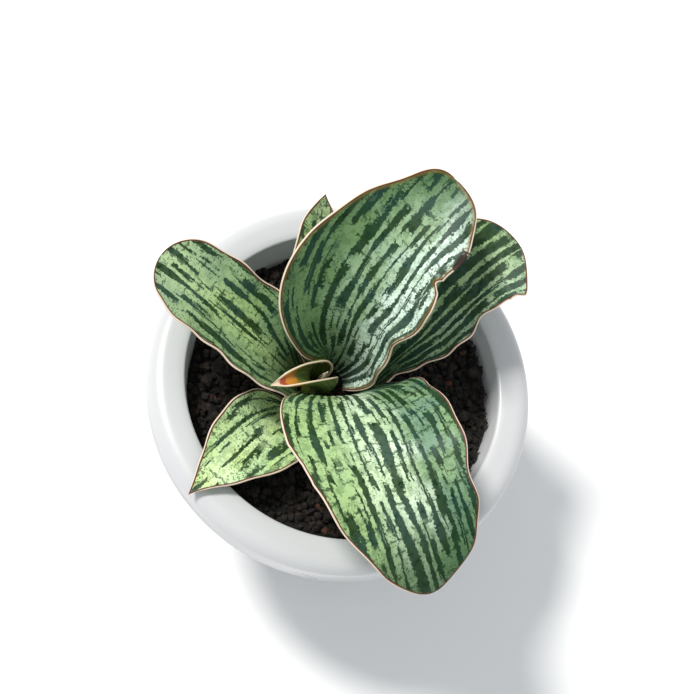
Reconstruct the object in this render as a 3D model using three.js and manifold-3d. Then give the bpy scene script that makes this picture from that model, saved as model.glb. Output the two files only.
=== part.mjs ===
// A potted snake plant: a rosette of broad, channelled, wavy-edged leaves that grow from a short
// rhizome, in a bed of lava granules, in a round plastic pot with a wide rolled rim.
//
// Millimetres, +Z up. The origin is the centre of the pot's underside, so the pot stands on Z = 0.
// Every leaf is a curved sheet of its own, laid out from its midrib: the midrib starts on the
// rhizome, each value in "heading", "sweep" and "rise" turns it, and the half-widths, the curl and
// the thickness are set square to it.

import * as THREE from "three";
import { mergeVertices } from "three/addons/utils/BufferGeometryUtils.js";
import Module from "manifold-3d";

const wasm = await Module();
wasm.setup();

// ---------------------------------------------------------------------------------------------
// Driving dimensions
// ---------------------------------------------------------------------------------------------

// Pot
const POT_HEIGHT = 104;
const RIM_OUTER_RADIUS = 80;
const RIM_WIDTH = 14.3; // from the outer edge to the sharp inner lip
const RIM_CREST_INSET = 6.5; // the rolled rim is highest this far in from its outer edge
const RIM_SHOULDER_DROP = 5; // from the crest down to the widest line of the roll
const RIM_LIP_DROP = 1; // from the crest down to the inner lip
const RIM_SKIRT_LENGTH = 16; // from the crest down to the lower edge of the roll
const POT_WALL = 3;
const POT_FLOOR = 3.5;
const FOOT_OUTER_RADIUS = 52;
const FOOT_CHAMFER = 1.5;
const ROLL_STEPS = 6;
const POT_SEGMENTS = 48;

// Drain holes, in a ring that leaves the middle of the floor whole
const DRAIN_HOLE_COUNT = 6;
const DRAIN_HOLE_RADIUS = 4.5;
const DRAIN_RING_RADIUS = 32;

// Growing medium: its bed is a slightly tilted plane below the rim
const BED_DROP = 12.5; // from the rim's crest down to the bed, at the pot's axis
const BED_SLOPE_X = 0.054;
const BED_SLOPE_Y = -0.032;
const MEDIUM_CLEARANCE = 0.4; // between the medium and the pot
const MEDIUM_RING_COUNT = 4;
const BED_EDGE_HEIGHT = 6; // the bed's edge slopes away from the wall over this height
const BED_EDGE_INSET = 2;

// Crown: where the leaves leave the rhizome
const CROWN_X = -7;
const CROWN_Y = -1;
const CROWN_WELL_RADIUS = 25; // the hollow in the bed that the leaf bases stand in
const LEAF_BASE_DROP = 20; // from the rim's crest down to the leaf bases, so the leaves clear the rim
const LEAF_GAP = 1.4; // between a leaf base and the rhizome
const LEAF_CLEARANCE = 0.8; // between a leaf and the medium packed round it
const WELL_CLEARANCE = 1.5; // under the rhizome's shoulder

// Rhizome and roots
const RHIZOME_RADIUS = 15;
const RHIZOME_HEIGHT = 22;
const ROOT_COUNT = 7;
const ROOT_RADIUS = 1.6;
const ROOT_REACH = 24; // how far a root runs out from the rhizome's side
const ROOT_DROP = 30; // how far it runs down
const ROOT_CLEARANCE = 0.6;

// Loose stones on the bed
const STONE_COUNT = 24;
const STONE_RADIUS_SMALL = 2.1;
const STONE_RADIUS_LARGE = 2.9;
const STONE_EDGE_MARGIN = 5; // from the pot's wall to the nearest stone's centre
const STONE_INNER_RADIUS = 36; // no stone lies nearer to the pot's axis
const STONE_GAP = 0.4;

// Leaf sheets
const LEAF_STATIONS = 22; // along the midrib
const LEAF_COLUMNS = 6; // across the blade
const LEAF_EDGE_THICKNESS = 0.9;
const LEAF_TIP_STOP = 0.985; // the sheet ends in a small blunt face just before the midrib's end

// ---------------------------------------------------------------------------------------------
// Derived dimensions
// ---------------------------------------------------------------------------------------------

const LIP_RADIUS = RIM_OUTER_RADIUS - RIM_WIDTH;
const RIM_CREST_RADIUS = RIM_OUTER_RADIUS - RIM_CREST_INSET;
const LIP_HEIGHT = POT_HEIGHT - RIM_LIP_DROP;
const FOOT_INNER_RADIUS = FOOT_OUTER_RADIUS - POT_WALL;
const BED_HEIGHT = POT_HEIGHT - BED_DROP;
const LEAF_BASE_HEIGHT = POT_HEIGHT - LEAF_BASE_DROP;
const LEAF_BASE_DEPTH = BED_HEIGHT - LEAF_BASE_HEIGHT; // below the bed at the axis
const RHIZOME_TOP = LEAF_BASE_HEIGHT - LEAF_GAP;
const RHIZOME_BOTTOM = RHIZOME_TOP - RHIZOME_HEIGHT;

/** The radius of the pot's inner wall at a height. */
function innerWallRadius(z) {
  const t = (z - POT_FLOOR) / (LIP_HEIGHT - POT_FLOOR);
  return THREE.MathUtils.lerp(FOOT_INNER_RADIUS, LIP_RADIUS, t);
}

/** The height of the bed of granules at a place. */
function bedHeight(x, y) {
  return BED_HEIGHT + BED_SLOPE_X * x + BED_SLOPE_Y * y;
}

// ---------------------------------------------------------------------------------------------
// Leaves
// ---------------------------------------------------------------------------------------------

// Angles are in degrees and lengths in millimetres. "base" is the midrib's start, from the crown.
// "heading" is the compass direction of the leaf, counter-clockwise from +X, and "sweep" is added
// to it at equal steps along the midrib. "rise" is the midrib's slope. "left" and "right" are the
// half-widths, looking out along the leaf. "curl" is how far each half is rolled up into a channel.
// "tipSharpness" and "tipRoundness" close the blade: a high sharpness keeps it broad for longer.
const LEAVES = [
  {
    name: "leaf_back",
    base: [2.5, 11.2],
    heading: 60,
    sweep: [30, 28, 15, -4, -15, -18],
    rise: [88, 83, 62, 42, 26, 8],
    length: 119.5,
    left: [3.5, 3.5, 8.5, 22, 31, 34.5, 30, 25, 19, 12.5, 7],
    right: [8, 17.5, 22.5, 23, 23.5, 29, 31.5, 27, 27.5, 22.5, 12],
    curl: [125, 90, 64, 46, 34, 24],
    thickness: [3.2, 3.0, 2.8, 2.6, 2.2, 1.6],
    tipSharpness: 60,
    tipRoundness: 0.5,
    colour: 0x5f8763,
  },
  {
    name: "leaf_left",
    base: [-9.5, 3],
    heading: 152,
    sweep: [22, 15, 0, -4, -4, -4],
    rise: [85, 58, 37, 29, 24, 16],
    length: 98,
    left: [5, 9, 13.5, 15, 17, 18, 17.5, 18, 18.5, 18, 17],
    right: [5, 7, 8, 12, 16, 20.5, 19.5, 19, 18, 17, 16],
    curl: [60, 54, 45, 38, 30, 20],
    thickness: [3.0, 2.8, 2.6, 2.4, 2.0, 1.5],
    tipSharpness: 14,
    tipRoundness: 0.5,
    colour: 0x6b8a5c,
  },
  {
    name: "leaf_right",
    base: [16.5, 1.5],
    heading: 39,
    sweep: [0, 1, 2, 2, 0, -10],
    rise: [75, 56, 46, 36, 27, 14],
    length: 99,
    left: [4, 5, 9, 16, 22, 23, 24, 25, 25, 22.5, 18],
    right: [5, 5, 5, 8, 12, 15, 15.5, 13, 14.8, 18.5, 12],
    curl: [60, 45, 35, 26, 18, 10],
    thickness: [3.0, 2.8, 2.6, 2.4, 2.0, 1.5],
    tipSharpness: 20,
    tipRoundness: 0.6,
    colour: 0x4f7350,
  },
  {
    name: "leaf_small_back",
    base: [-0.5, 15],
    heading: 96,
    sweep: [20, 14, 4, -2, -7, -9],
    rise: [85, 66, 44, 34, 25, 20],
    length: 81,
    left: [4, 7, 11, 13, 14, 14, 14, 13.5, 13, 14, 12],
    right: [4, 7, 11, 13, 14, 14, 14, 13, 12, 9, 6],
    curl: [60, 46, 35, 28, 20, 10],
    thickness: [2.6, 2.4, 2.2, 2.0, 1.7, 1.3],
    tipSharpness: 6,
    tipRoundness: 1,
    colour: 0x6f8f68,
  },
  {
    name: "leaf_lower_left",
    base: [-11, -8],
    heading: 220,
    sweep: [-4, 0, 2, 3, 0, -2],
    rise: [64, 40, 28, 12, -6, -18],
    length: 71,
    left: [4, 7, 12, 17, 19, 18.8, 16.5, 13.5, 10.5, 7, 4],
    right: [4, 7, 12, 16.5, 18, 18, 17.4, 15.8, 13, 10, 8],
    curl: [60, 46, 35, 28, 20, 10],
    thickness: [3.0, 2.8, 2.6, 2.4, 2.0, 1.5],
    tipSharpness: 5,
    tipRoundness: 1,
    colour: 0x8aa35f,
  },
  {
    name: "leaf_front",
    base: [5, -6.4],
    heading: -74,
    sweep: [-8, -8, -4, 2, 8, 12],
    rise: [88, 76, 42, 11, -24, -44],
    length: 137,
    left: [6, 12, 24, 29.5, 30, 30.5, 29.5, 26, 26, 20.5, 8.5],
    right: [7, 12, 20, 28, 34.5, 38.5, 35, 30, 23, 15, 8],
    curl: [60, 36, 26, 24, 20, 12],
    thickness: [3.2, 3.0, 2.8, 2.6, 2.2, 1.6],
    tipSharpness: 30,
    tipRoundness: 0.6,
    colour: 0x83a86c,
  },
  {
    name: "leaf_young_rolled",
    base: [-7, 0.5],
    heading: 201,
    sweep: [0, 0, 0, 0, 0, 0],
    rise: [88, 88, 86, 50, 20, 8],
    length: 48,
    left: [10, 10.5, 10, 11.5, 13, 12.2, 9.4, 7.2, 5.5, 3.5, 1.5],
    right: [10, 10.5, 10, 11.5, 13, 11.8, 8.6, 6.8, 5, 3, 1.5],
    curl: [168, 168, 164, 128, 95, 50],
    thickness: [1.4, 1.4, 1.3, 1.2, 1.1, 1.0],
    tipSharpness: 12,
    tipRoundness: 1,
    colour: 0x7d7a2c,
  },
  {
    name: "leaf_spear",
    base: [-2.4, 1.3],
    heading: 10,
    sweep: [0, 0, 0, 0, 0, 0],
    rise: [90, 90, 90, 90, 90, 90],
    length: 30,
    left: [2.3, 2.3, 2.3, 2.3, 2.3, 2.3, 2.3, 2.2, 2, 1.5, 0.8],
    right: [2.3, 2.3, 2.3, 2.3, 2.3, 2.3, 2.3, 2.2, 2, 1.5, 0.8],
    curl: [150, 150, 150, 150, 150, 150],
    thickness: [0.9, 0.9, 0.9, 0.9, 0.9, 0.9],
    tipSharpness: 12,
    tipRoundness: 1,
    colour: 0xc9bd9a,
  },
];

/** A Catmull-Rom value through equally spaced values, at v from 0 to 1. */
function alongValues(values, v) {
  const last = values.length - 1;
  const x = THREE.MathUtils.clamp(v, 0, 1) * last;
  const i = Math.min(Math.floor(x), last - 1);
  const t = x - i;
  const before = i > 0 ? values[i - 1] : 2 * values[0] - values[1];
  const after = i + 2 <= last ? values[i + 2] : 2 * values[last] - values[last - 1];
  const a = values[i];
  const b = values[i + 1];
  const slope = b - before;
  const bend = 2 * before - 5 * a + 4 * b - after;
  const twist = 3 * a - before - 3 * b + after;
  return 0.5 * (2 * a + slope * t + bend * t * t + twist * t * t * t);
}

/** The midrib's direction at v, and the two directions square to it. */
function midribFrame(leaf, v) {
  const rise = THREE.MathUtils.degToRad(alongValues(leaf.rise, v));
  const course = THREE.MathUtils.degToRad(leaf.heading + alongValues(leaf.sweep, v));
  const along = new THREE.Vector3(
    Math.cos(rise) * Math.cos(course),
    Math.cos(rise) * Math.sin(course),
    Math.sin(rise),
  );
  const left = new THREE.Vector3(-Math.sin(course), Math.cos(course), 0);
  const up = new THREE.Vector3().crossVectors(along, left);
  return { along, left, up };
}

/** Points on the midrib, at the stations of the leaf's sheet. */
function midribPoints(leaf) {
  const fineSteps = 120;
  const step = leaf.length / fineSteps;
  const point = new THREE.Vector3(CROWN_X + leaf.base[0], CROWN_Y + leaf.base[1], LEAF_BASE_HEIGHT);
  const points = [point.clone()];
  for (let i = 0; i < fineSteps; i++) {
    const { along } = midribFrame(leaf, (i + 0.5) / fineSteps);
    point.addScaledVector(along, step);
    points.push(point.clone());
  }
  return (v) => {
    const x = THREE.MathUtils.clamp(v, 0, 1) * fineSteps;
    const i = Math.min(Math.floor(x), fineSteps - 1);
    return points[i].clone().lerp(points[i + 1], x - i);
  };
}

/** The blade's half-width at v, on the side that sign gives: 1 is left, -1 is right. */
function halfWidth(leaf, v, sign) {
  const width = alongValues(sign > 0 ? leaf.left : leaf.right, v);
  return width * (1 - v ** leaf.tipSharpness) ** leaf.tipRoundness;
}

/**
 * A closed sheet of varying thickness: the upper face is the leaf's form, and it thickens down.
 * A clearance above 0 grows it on all sides, for the space that a leaf needs in the medium.
 */
function leafGeometry(leaf, clearance) {
  const midrib = midribPoints(leaf);
  const positions = [];
  const ringSize = 2 * (LEAF_COLUMNS + 1);
  for (let j = 0; j <= LEAF_STATIONS; j++) {
    const v = (j / LEAF_STATIONS) * LEAF_TIP_STOP;
    const { along, left, up } = midribFrame(leaf, v);
    const start = midrib(v).addScaledVector(along, j === 0 ? -clearance : 0);
    const curl = THREE.MathUtils.degToRad(Math.max(alongValues(leaf.curl, v), 1));
    const middleThickness = alongValues(leaf.thickness, v);
    const upper = [];
    const lower = [];
    for (let i = 0; i <= LEAF_COLUMNS; i++) {
      const u = (2 * i) / LEAF_COLUMNS - 1;
      const sign = u < 0 ? -1 : 1;
      const angle = curl * Math.abs(u);
      const radius = (halfWidth(leaf, v, sign) + clearance) / curl;
      const point = start
        .clone()
        .addScaledVector(left, sign * radius * Math.sin(angle))
        .addScaledVector(up, radius * (1 - Math.cos(angle)));
      const normal = up
        .clone()
        .multiplyScalar(Math.cos(angle))
        .addScaledVector(left, -sign * Math.sin(angle));
      const thickness = THREE.MathUtils.lerp(middleThickness, LEAF_EDGE_THICKNESS, u * u);
      upper.push(point.clone().addScaledVector(normal, clearance));
      lower.push(point.clone().addScaledVector(normal, -thickness - clearance));
    }
    for (const p of [...upper, ...lower.reverse()]) positions.push(p.x, p.y, p.z);
  }
  const index = [];
  for (let j = 0; j < LEAF_STATIONS; j++) {
    for (let i = 0; i < ringSize; i++) {
      const a = j * ringSize + i;
      const b = j * ringSize + ((i + 1) % ringSize);
      index.push(a, b + ringSize, b, a, a + ringSize, b + ringSize);
    }
  }
  const lastRing = LEAF_STATIONS * ringSize;
  for (let i = 0; i < LEAF_COLUMNS; i++) {
    const across = ringSize - 1 - i;
    index.push(i, i + 1, across, i + 1, across - 1, across);
    index.push(lastRing + i, lastRing + across, lastRing + i + 1);
    index.push(lastRing + i + 1, lastRing + across, lastRing + across - 1);
  }
  const geometry = new THREE.BufferGeometry();
  geometry.setAttribute("position", new THREE.Float32BufferAttribute(positions, 3));
  geometry.setIndex(index);
  geometry.computeVertexNormals();
  return geometry;
}

// ---------------------------------------------------------------------------------------------
// Solids
// ---------------------------------------------------------------------------------------------

/** A manifold-3d solid from a closed geometry. */
function solidFrom(geometry) {
  const plain = geometry.clone();
  plain.deleteAttribute("normal");
  plain.deleteAttribute("uv");
  const merged = mergeVertices(plain, 1e-4);
  const mesh = new wasm.Mesh({
    numProp: 3,
    vertProperties: merged.attributes.position.array,
    triVerts: new Uint32Array(merged.index.array),
  });
  return new wasm.Manifold(mesh);
}

/** A geometry from a manifold-3d solid. */
function geometryFrom(solid) {
  const mesh = solid.getMesh();
  const geometry = new THREE.BufferGeometry();
  geometry.setAttribute("position", new THREE.Float32BufferAttribute(mesh.vertProperties, 3));
  geometry.setIndex(Array.from(mesh.triVerts));
  geometry.computeVertexNormals();
  return geometry;
}

/** A solid of revolution about Z, from [radius, height] points that go round it counter-clockwise. */
function turned(points, segments) {
  const profile = points.map(([radius, height]) => new THREE.Vector2(radius, height));
  const geometry = new THREE.LatheGeometry(profile, segments);
  geometry.rotateX(Math.PI / 2);
  return geometry;
}

/** Points of an elliptical arc, angles in degrees, both ends included. */
function arc(centreRadius, centreHeight, radiusX, radiusZ, from, to, steps) {
  const points = [];
  for (let i = 0; i <= steps; i++) {
    const angle = THREE.MathUtils.degToRad(THREE.MathUtils.lerp(from, to, i / steps));
    points.push([centreRadius + radiusX * Math.cos(angle), centreHeight + radiusZ * Math.sin(angle)]);
  }
  return points;
}

/** The pot: a tapered wall with a hollow rolled rim, and a floor with a ring of drain holes. */
function potGeometry() {
  const shoulder = POT_HEIGHT - RIM_SHOULDER_DROP;
  const skirtBottom = POT_HEIGHT - RIM_SKIRT_LENGTH;
  const underRoll = POT_HEIGHT - POT_WALL;
  const wallTopOuter = innerWallRadius(underRoll) + POT_WALL;
  const outerCrest = RIM_CREST_RADIUS;
  const profile = [
    [0, 0],
    [FOOT_OUTER_RADIUS - FOOT_CHAMFER, 0],
    [FOOT_OUTER_RADIUS, FOOT_CHAMFER],
    [wallTopOuter, underRoll - POT_WALL],
    [wallTopOuter + POT_WALL / 2, underRoll],
    ...arc(outerCrest, shoulder, RIM_CREST_INSET - POT_WALL, underRoll - shoulder, 90, 0, ROLL_STEPS),
    [RIM_OUTER_RADIUS - POT_WALL, skirtBottom],
    [RIM_OUTER_RADIUS - 1, skirtBottom],
    [RIM_OUTER_RADIUS, skirtBottom + 1],
    ...arc(outerCrest, shoulder, RIM_CREST_INSET, RIM_SHOULDER_DROP, 0, 90, ROLL_STEPS),
    [LIP_RADIUS + 1, POT_HEIGHT - RIM_LIP_DROP / 2],
    [LIP_RADIUS, LIP_HEIGHT],
    [FOOT_INNER_RADIUS, POT_FLOOR],
    [0, POT_FLOOR],
  ];
  let pot = solidFrom(turned(profile, POT_SEGMENTS));
  for (let i = 0; i < DRAIN_HOLE_COUNT; i++) {
    const angle = (2 * Math.PI * i) / DRAIN_HOLE_COUNT;
    const hole = new THREE.CylinderGeometry(DRAIN_HOLE_RADIUS, DRAIN_HOLE_RADIUS, 4 * POT_FLOOR, 16);
    hole.rotateX(Math.PI / 2);
    hole.translate(DRAIN_RING_RADIUS * Math.cos(angle), DRAIN_RING_RADIUS * Math.sin(angle), 0);
    pot = pot.subtract(solidFrom(hole));
  }
  return geometryFrom(pot);
}

/** The rhizome and its roots as one solid, grown outwards by a clearance. */
function rhizomeSolid(clearance) {
  const radius = RHIZOME_RADIUS + clearance;
  const bottom = RHIZOME_BOTTOM - clearance;
  const top = RHIZOME_TOP;
  const profile = [
    [0, bottom],
    [radius * 0.55, bottom + 1.5],
    [radius * 0.9, bottom + 6],
    [radius, bottom + 12],
    [radius * 0.96, top - 3],
    [radius * 0.85, top],
    [0, top],
  ];
  let solid = solidFrom(turned(profile, 20).translate(CROWN_X, CROWN_Y, 0));
  for (let i = 0; i < ROOT_COUNT; i++) {
    const angle = (2 * Math.PI * (i + 0.3 * Math.sin(3 * i))) / ROOT_COUNT;
    const out = new THREE.Vector3(Math.cos(angle), Math.sin(angle), 0);
    const aside = new THREE.Vector3(-Math.sin(angle), Math.cos(angle), 0);
    const start = new THREE.Vector3(CROWN_X, CROWN_Y, RHIZOME_BOTTOM + 9);
    const route = [
      start.clone().addScaledVector(out, RHIZOME_RADIUS - 6),
      start.clone().addScaledVector(out, RHIZOME_RADIUS + ROOT_REACH * 0.35).setZ(start.z - 3),
      start
        .clone()
        .addScaledVector(out, RHIZOME_RADIUS + ROOT_REACH * 0.75)
        .addScaledVector(aside, 4)
        .setZ(start.z - ROOT_DROP * 0.45),
      start
        .clone()
        .addScaledVector(out, RHIZOME_RADIUS + ROOT_REACH * 0.9)
        .addScaledVector(aside, -3)
        .setZ(start.z - ROOT_DROP - clearance),
    ];
    const section = new THREE.Shape();
    section.absarc(0, 0, ROOT_RADIUS + clearance, 0, 2 * Math.PI, false);
    const root = new THREE.ExtrudeGeometry(section, {
      steps: 9,
      curveSegments: 6,
      extrudePath: new THREE.CatmullRomCurve3(route),
    });
    solid = solid.add(solidFrom(root));
  }
  return solid;
}

/** The bed of granules, as one solid with a well for the leaf bases and spaces for leaves and roots. */
function mediumGeometry() {
  const bottom = POT_FLOOR + MEDIUM_CLEARANCE;
  const edge = innerWallRadius(BED_HEIGHT) - MEDIUM_CLEARANCE - BED_EDGE_INSET;
  const profile = [[0, bottom]];
  for (let i = 0; i <= MEDIUM_RING_COUNT; i++) {
    const z = THREE.MathUtils.lerp(bottom, BED_HEIGHT - BED_EDGE_HEIGHT, i / MEDIUM_RING_COUNT);
    profile.push([innerWallRadius(z) - MEDIUM_CLEARANCE, z]);
  }
  profile.push([edge, BED_HEIGHT], [0, BED_HEIGHT]);
  const body = turned(profile, POT_SEGMENTS);
  const place = body.attributes.position;
  for (let i = 0; i < place.count; i++) {
    if (place.getZ(i) > BED_HEIGHT - 1e-3) {
      place.setZ(i, bedHeight(place.getX(i), place.getY(i)));
    }
  }
  const wellDepth = LEAF_BASE_DEPTH + LEAF_GAP + WELL_CLEARANCE;
  const wellHeight = wellDepth + POT_HEIGHT;
  const well = new THREE.CylinderGeometry(CROWN_WELL_RADIUS, CROWN_WELL_RADIUS, wellHeight, 28);
  well.rotateX(Math.PI / 2);
  well.translate(CROWN_X, CROWN_Y, BED_HEIGHT - wellDepth + wellHeight / 2);
  let medium = solidFrom(body).subtract(solidFrom(well)).subtract(rhizomeSolid(ROOT_CLEARANCE));
  for (const leaf of LEAVES) {
    medium = medium.subtract(solidFrom(leafGeometry(leaf, LEAF_CLEARANCE)));
  }
  return geometryFrom(medium);
}

/** A seeded stream of numbers from 0 to 1. */
function seededNumbers(seed) {
  let state = seed;
  return () => {
    state = (state * 1664525 + 1013904223) % 4294967296;
    return state / 4294967296;
  };
}

/** An angular lump of lava. */
function stoneGeometry(radius, next) {
  const stone = mergeVertices(withoutExtras(new THREE.IcosahedronGeometry(radius, 1)), 1e-4);
  const place = stone.attributes.position;
  for (let i = 0; i < place.count; i++) {
    const squeeze = 1 - 0.2 * next();
    place.setXYZ(i, place.getX(i) * squeeze, place.getY(i) * squeeze, place.getZ(i) * squeeze);
  }
  stone.scale(1, 0.82 + 0.15 * next(), 0.78);
  stone.rotateZ(2 * Math.PI * next());
  stone.computeVertexNormals();
  return stone;
}

/** A geometry with nothing but its positions. */
function withoutExtras(geometry) {
  geometry.deleteAttribute("normal");
  geometry.deleteAttribute("uv");
  return geometry;
}

// ---------------------------------------------------------------------------------------------
// Assembly
// ---------------------------------------------------------------------------------------------

const plant = new THREE.Group();
plant.name = "potted_snake_plant";

function addPart(name, geometry, colour, roughness) {
  const material = new THREE.MeshStandardMaterial({ color: colour, roughness, metalness: 0 });
  const mesh = new THREE.Mesh(geometry, material);
  mesh.name = name;
  plant.add(mesh);
  return mesh;
}

addPart("pot", potGeometry(), 0xe9eaec, 0.35);
addPart("growing_medium", mediumGeometry(), 0x1d1a19, 0.95);
addPart("rhizome_and_roots", geometryFrom(rhizomeSolid(0)), 0xb9a37c, 0.8);
for (const leaf of LEAVES) {
  addPart(leaf.name, leafGeometry(leaf, 0), leaf.colour, 0.45);
}

const nextNumber = seededNumbers(11);
const goldenAngle = Math.PI * (3 - Math.sqrt(5));
const stoneOuterRadius = innerWallRadius(BED_HEIGHT) - STONE_EDGE_MARGIN;
for (let i = 0; i < STONE_COUNT; i++) {
  const radius = THREE.MathUtils.lerp(STONE_RADIUS_SMALL, STONE_RADIUS_LARGE, nextNumber());
  const share = Math.sqrt((i + 0.5) / STONE_COUNT);
  const distance = THREE.MathUtils.lerp(STONE_INNER_RADIUS, stoneOuterRadius, share);
  const angle = i * goldenAngle;
  const x = distance * Math.cos(angle);
  const y = distance * Math.sin(angle);
  const stone = addPart(
    `lava_stone_${String(i + 1).padStart(2, "0")}`,
    stoneGeometry(radius, nextNumber),
    0x2a2220,
    0.95,
  );
  stone.position.set(x, y, bedHeight(x, y) + radius + STONE_GAP);
}

export default plant;
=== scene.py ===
"""Looks for a potted snake plant: leaf blades, crown, lava granules and a round plastic pot.

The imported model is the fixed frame. Every piece is built in metres at the frame's origin, rides on
the body "root" and stands for the node it replaces. Leaf shapes are given in millimetres, in the
same terms as the model: a midrib that turns by its heading, sweep and rise, with the half-widths,
the curl and the thickness set square to it.
"""

import logging
import math
from dataclasses import dataclass, field
from enum import Enum

import bmesh
import bpy
import numpy as np
from mathutils import Matrix, Vector


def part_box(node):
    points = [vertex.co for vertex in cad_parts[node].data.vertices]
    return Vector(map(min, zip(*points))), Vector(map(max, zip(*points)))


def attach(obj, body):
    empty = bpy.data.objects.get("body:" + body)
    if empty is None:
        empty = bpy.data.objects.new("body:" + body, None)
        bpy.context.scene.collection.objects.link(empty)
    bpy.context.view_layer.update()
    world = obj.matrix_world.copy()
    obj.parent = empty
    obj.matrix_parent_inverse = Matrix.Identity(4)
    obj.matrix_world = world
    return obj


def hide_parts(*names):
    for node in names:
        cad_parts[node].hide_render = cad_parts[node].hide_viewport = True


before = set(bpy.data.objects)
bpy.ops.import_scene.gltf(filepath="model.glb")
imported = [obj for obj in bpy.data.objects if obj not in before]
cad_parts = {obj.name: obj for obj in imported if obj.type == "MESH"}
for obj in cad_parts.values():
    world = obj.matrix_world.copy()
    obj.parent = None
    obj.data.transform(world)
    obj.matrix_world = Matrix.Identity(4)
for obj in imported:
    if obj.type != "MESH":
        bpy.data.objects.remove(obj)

LOG = logging.getLogger("snake_plant")
Socket = bpy.types.NodeSocket
Colour = tuple[float, float, float]
MM = 0.001
BODY = "root"
SHADER_INPUTS = {
    "specular": "Specular IOR Level",
    "coat": "Coat Weight",
    "coat_roughness": "Coat Roughness",
}


# Small tools


class Side(Enum):
    """The two halves of a blade, looking out along the leaf."""

    LEFT = 1
    RIGHT = -1


class Curve:
    """Smooth curves through equally spaced values."""

    @staticmethod
    def through(values: tuple[float, ...], v: np.ndarray) -> np.ndarray:
        """A Catmull-Rom curve through equally spaced values.

        Args:
            values: The values, the first at v = 0 and the last at v = 1.
            v: Places along the curve, from 0 to 1.

        Returns:
            The curve's value at each place.
        """
        given = np.asarray(values, float)
        last = len(given) - 1
        x = np.clip(v, 0, 1) * last
        i = np.minimum(np.floor(x).astype(int), last - 1)
        t = x - i
        ends = np.concatenate([[2 * given[0] - given[1]], given, [2 * given[-1] - given[-2]]])
        before, a, b, after = ends[i], ends[i + 1], ends[i + 2], ends[i + 3]
        bend = 2 * before - 5 * a + 4 * b - after
        twist = 3 * a - before - 3 * b + after
        return 0.5 * (2 * a + (b - before) * t + bend * t**2 + twist * t**3)


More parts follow.
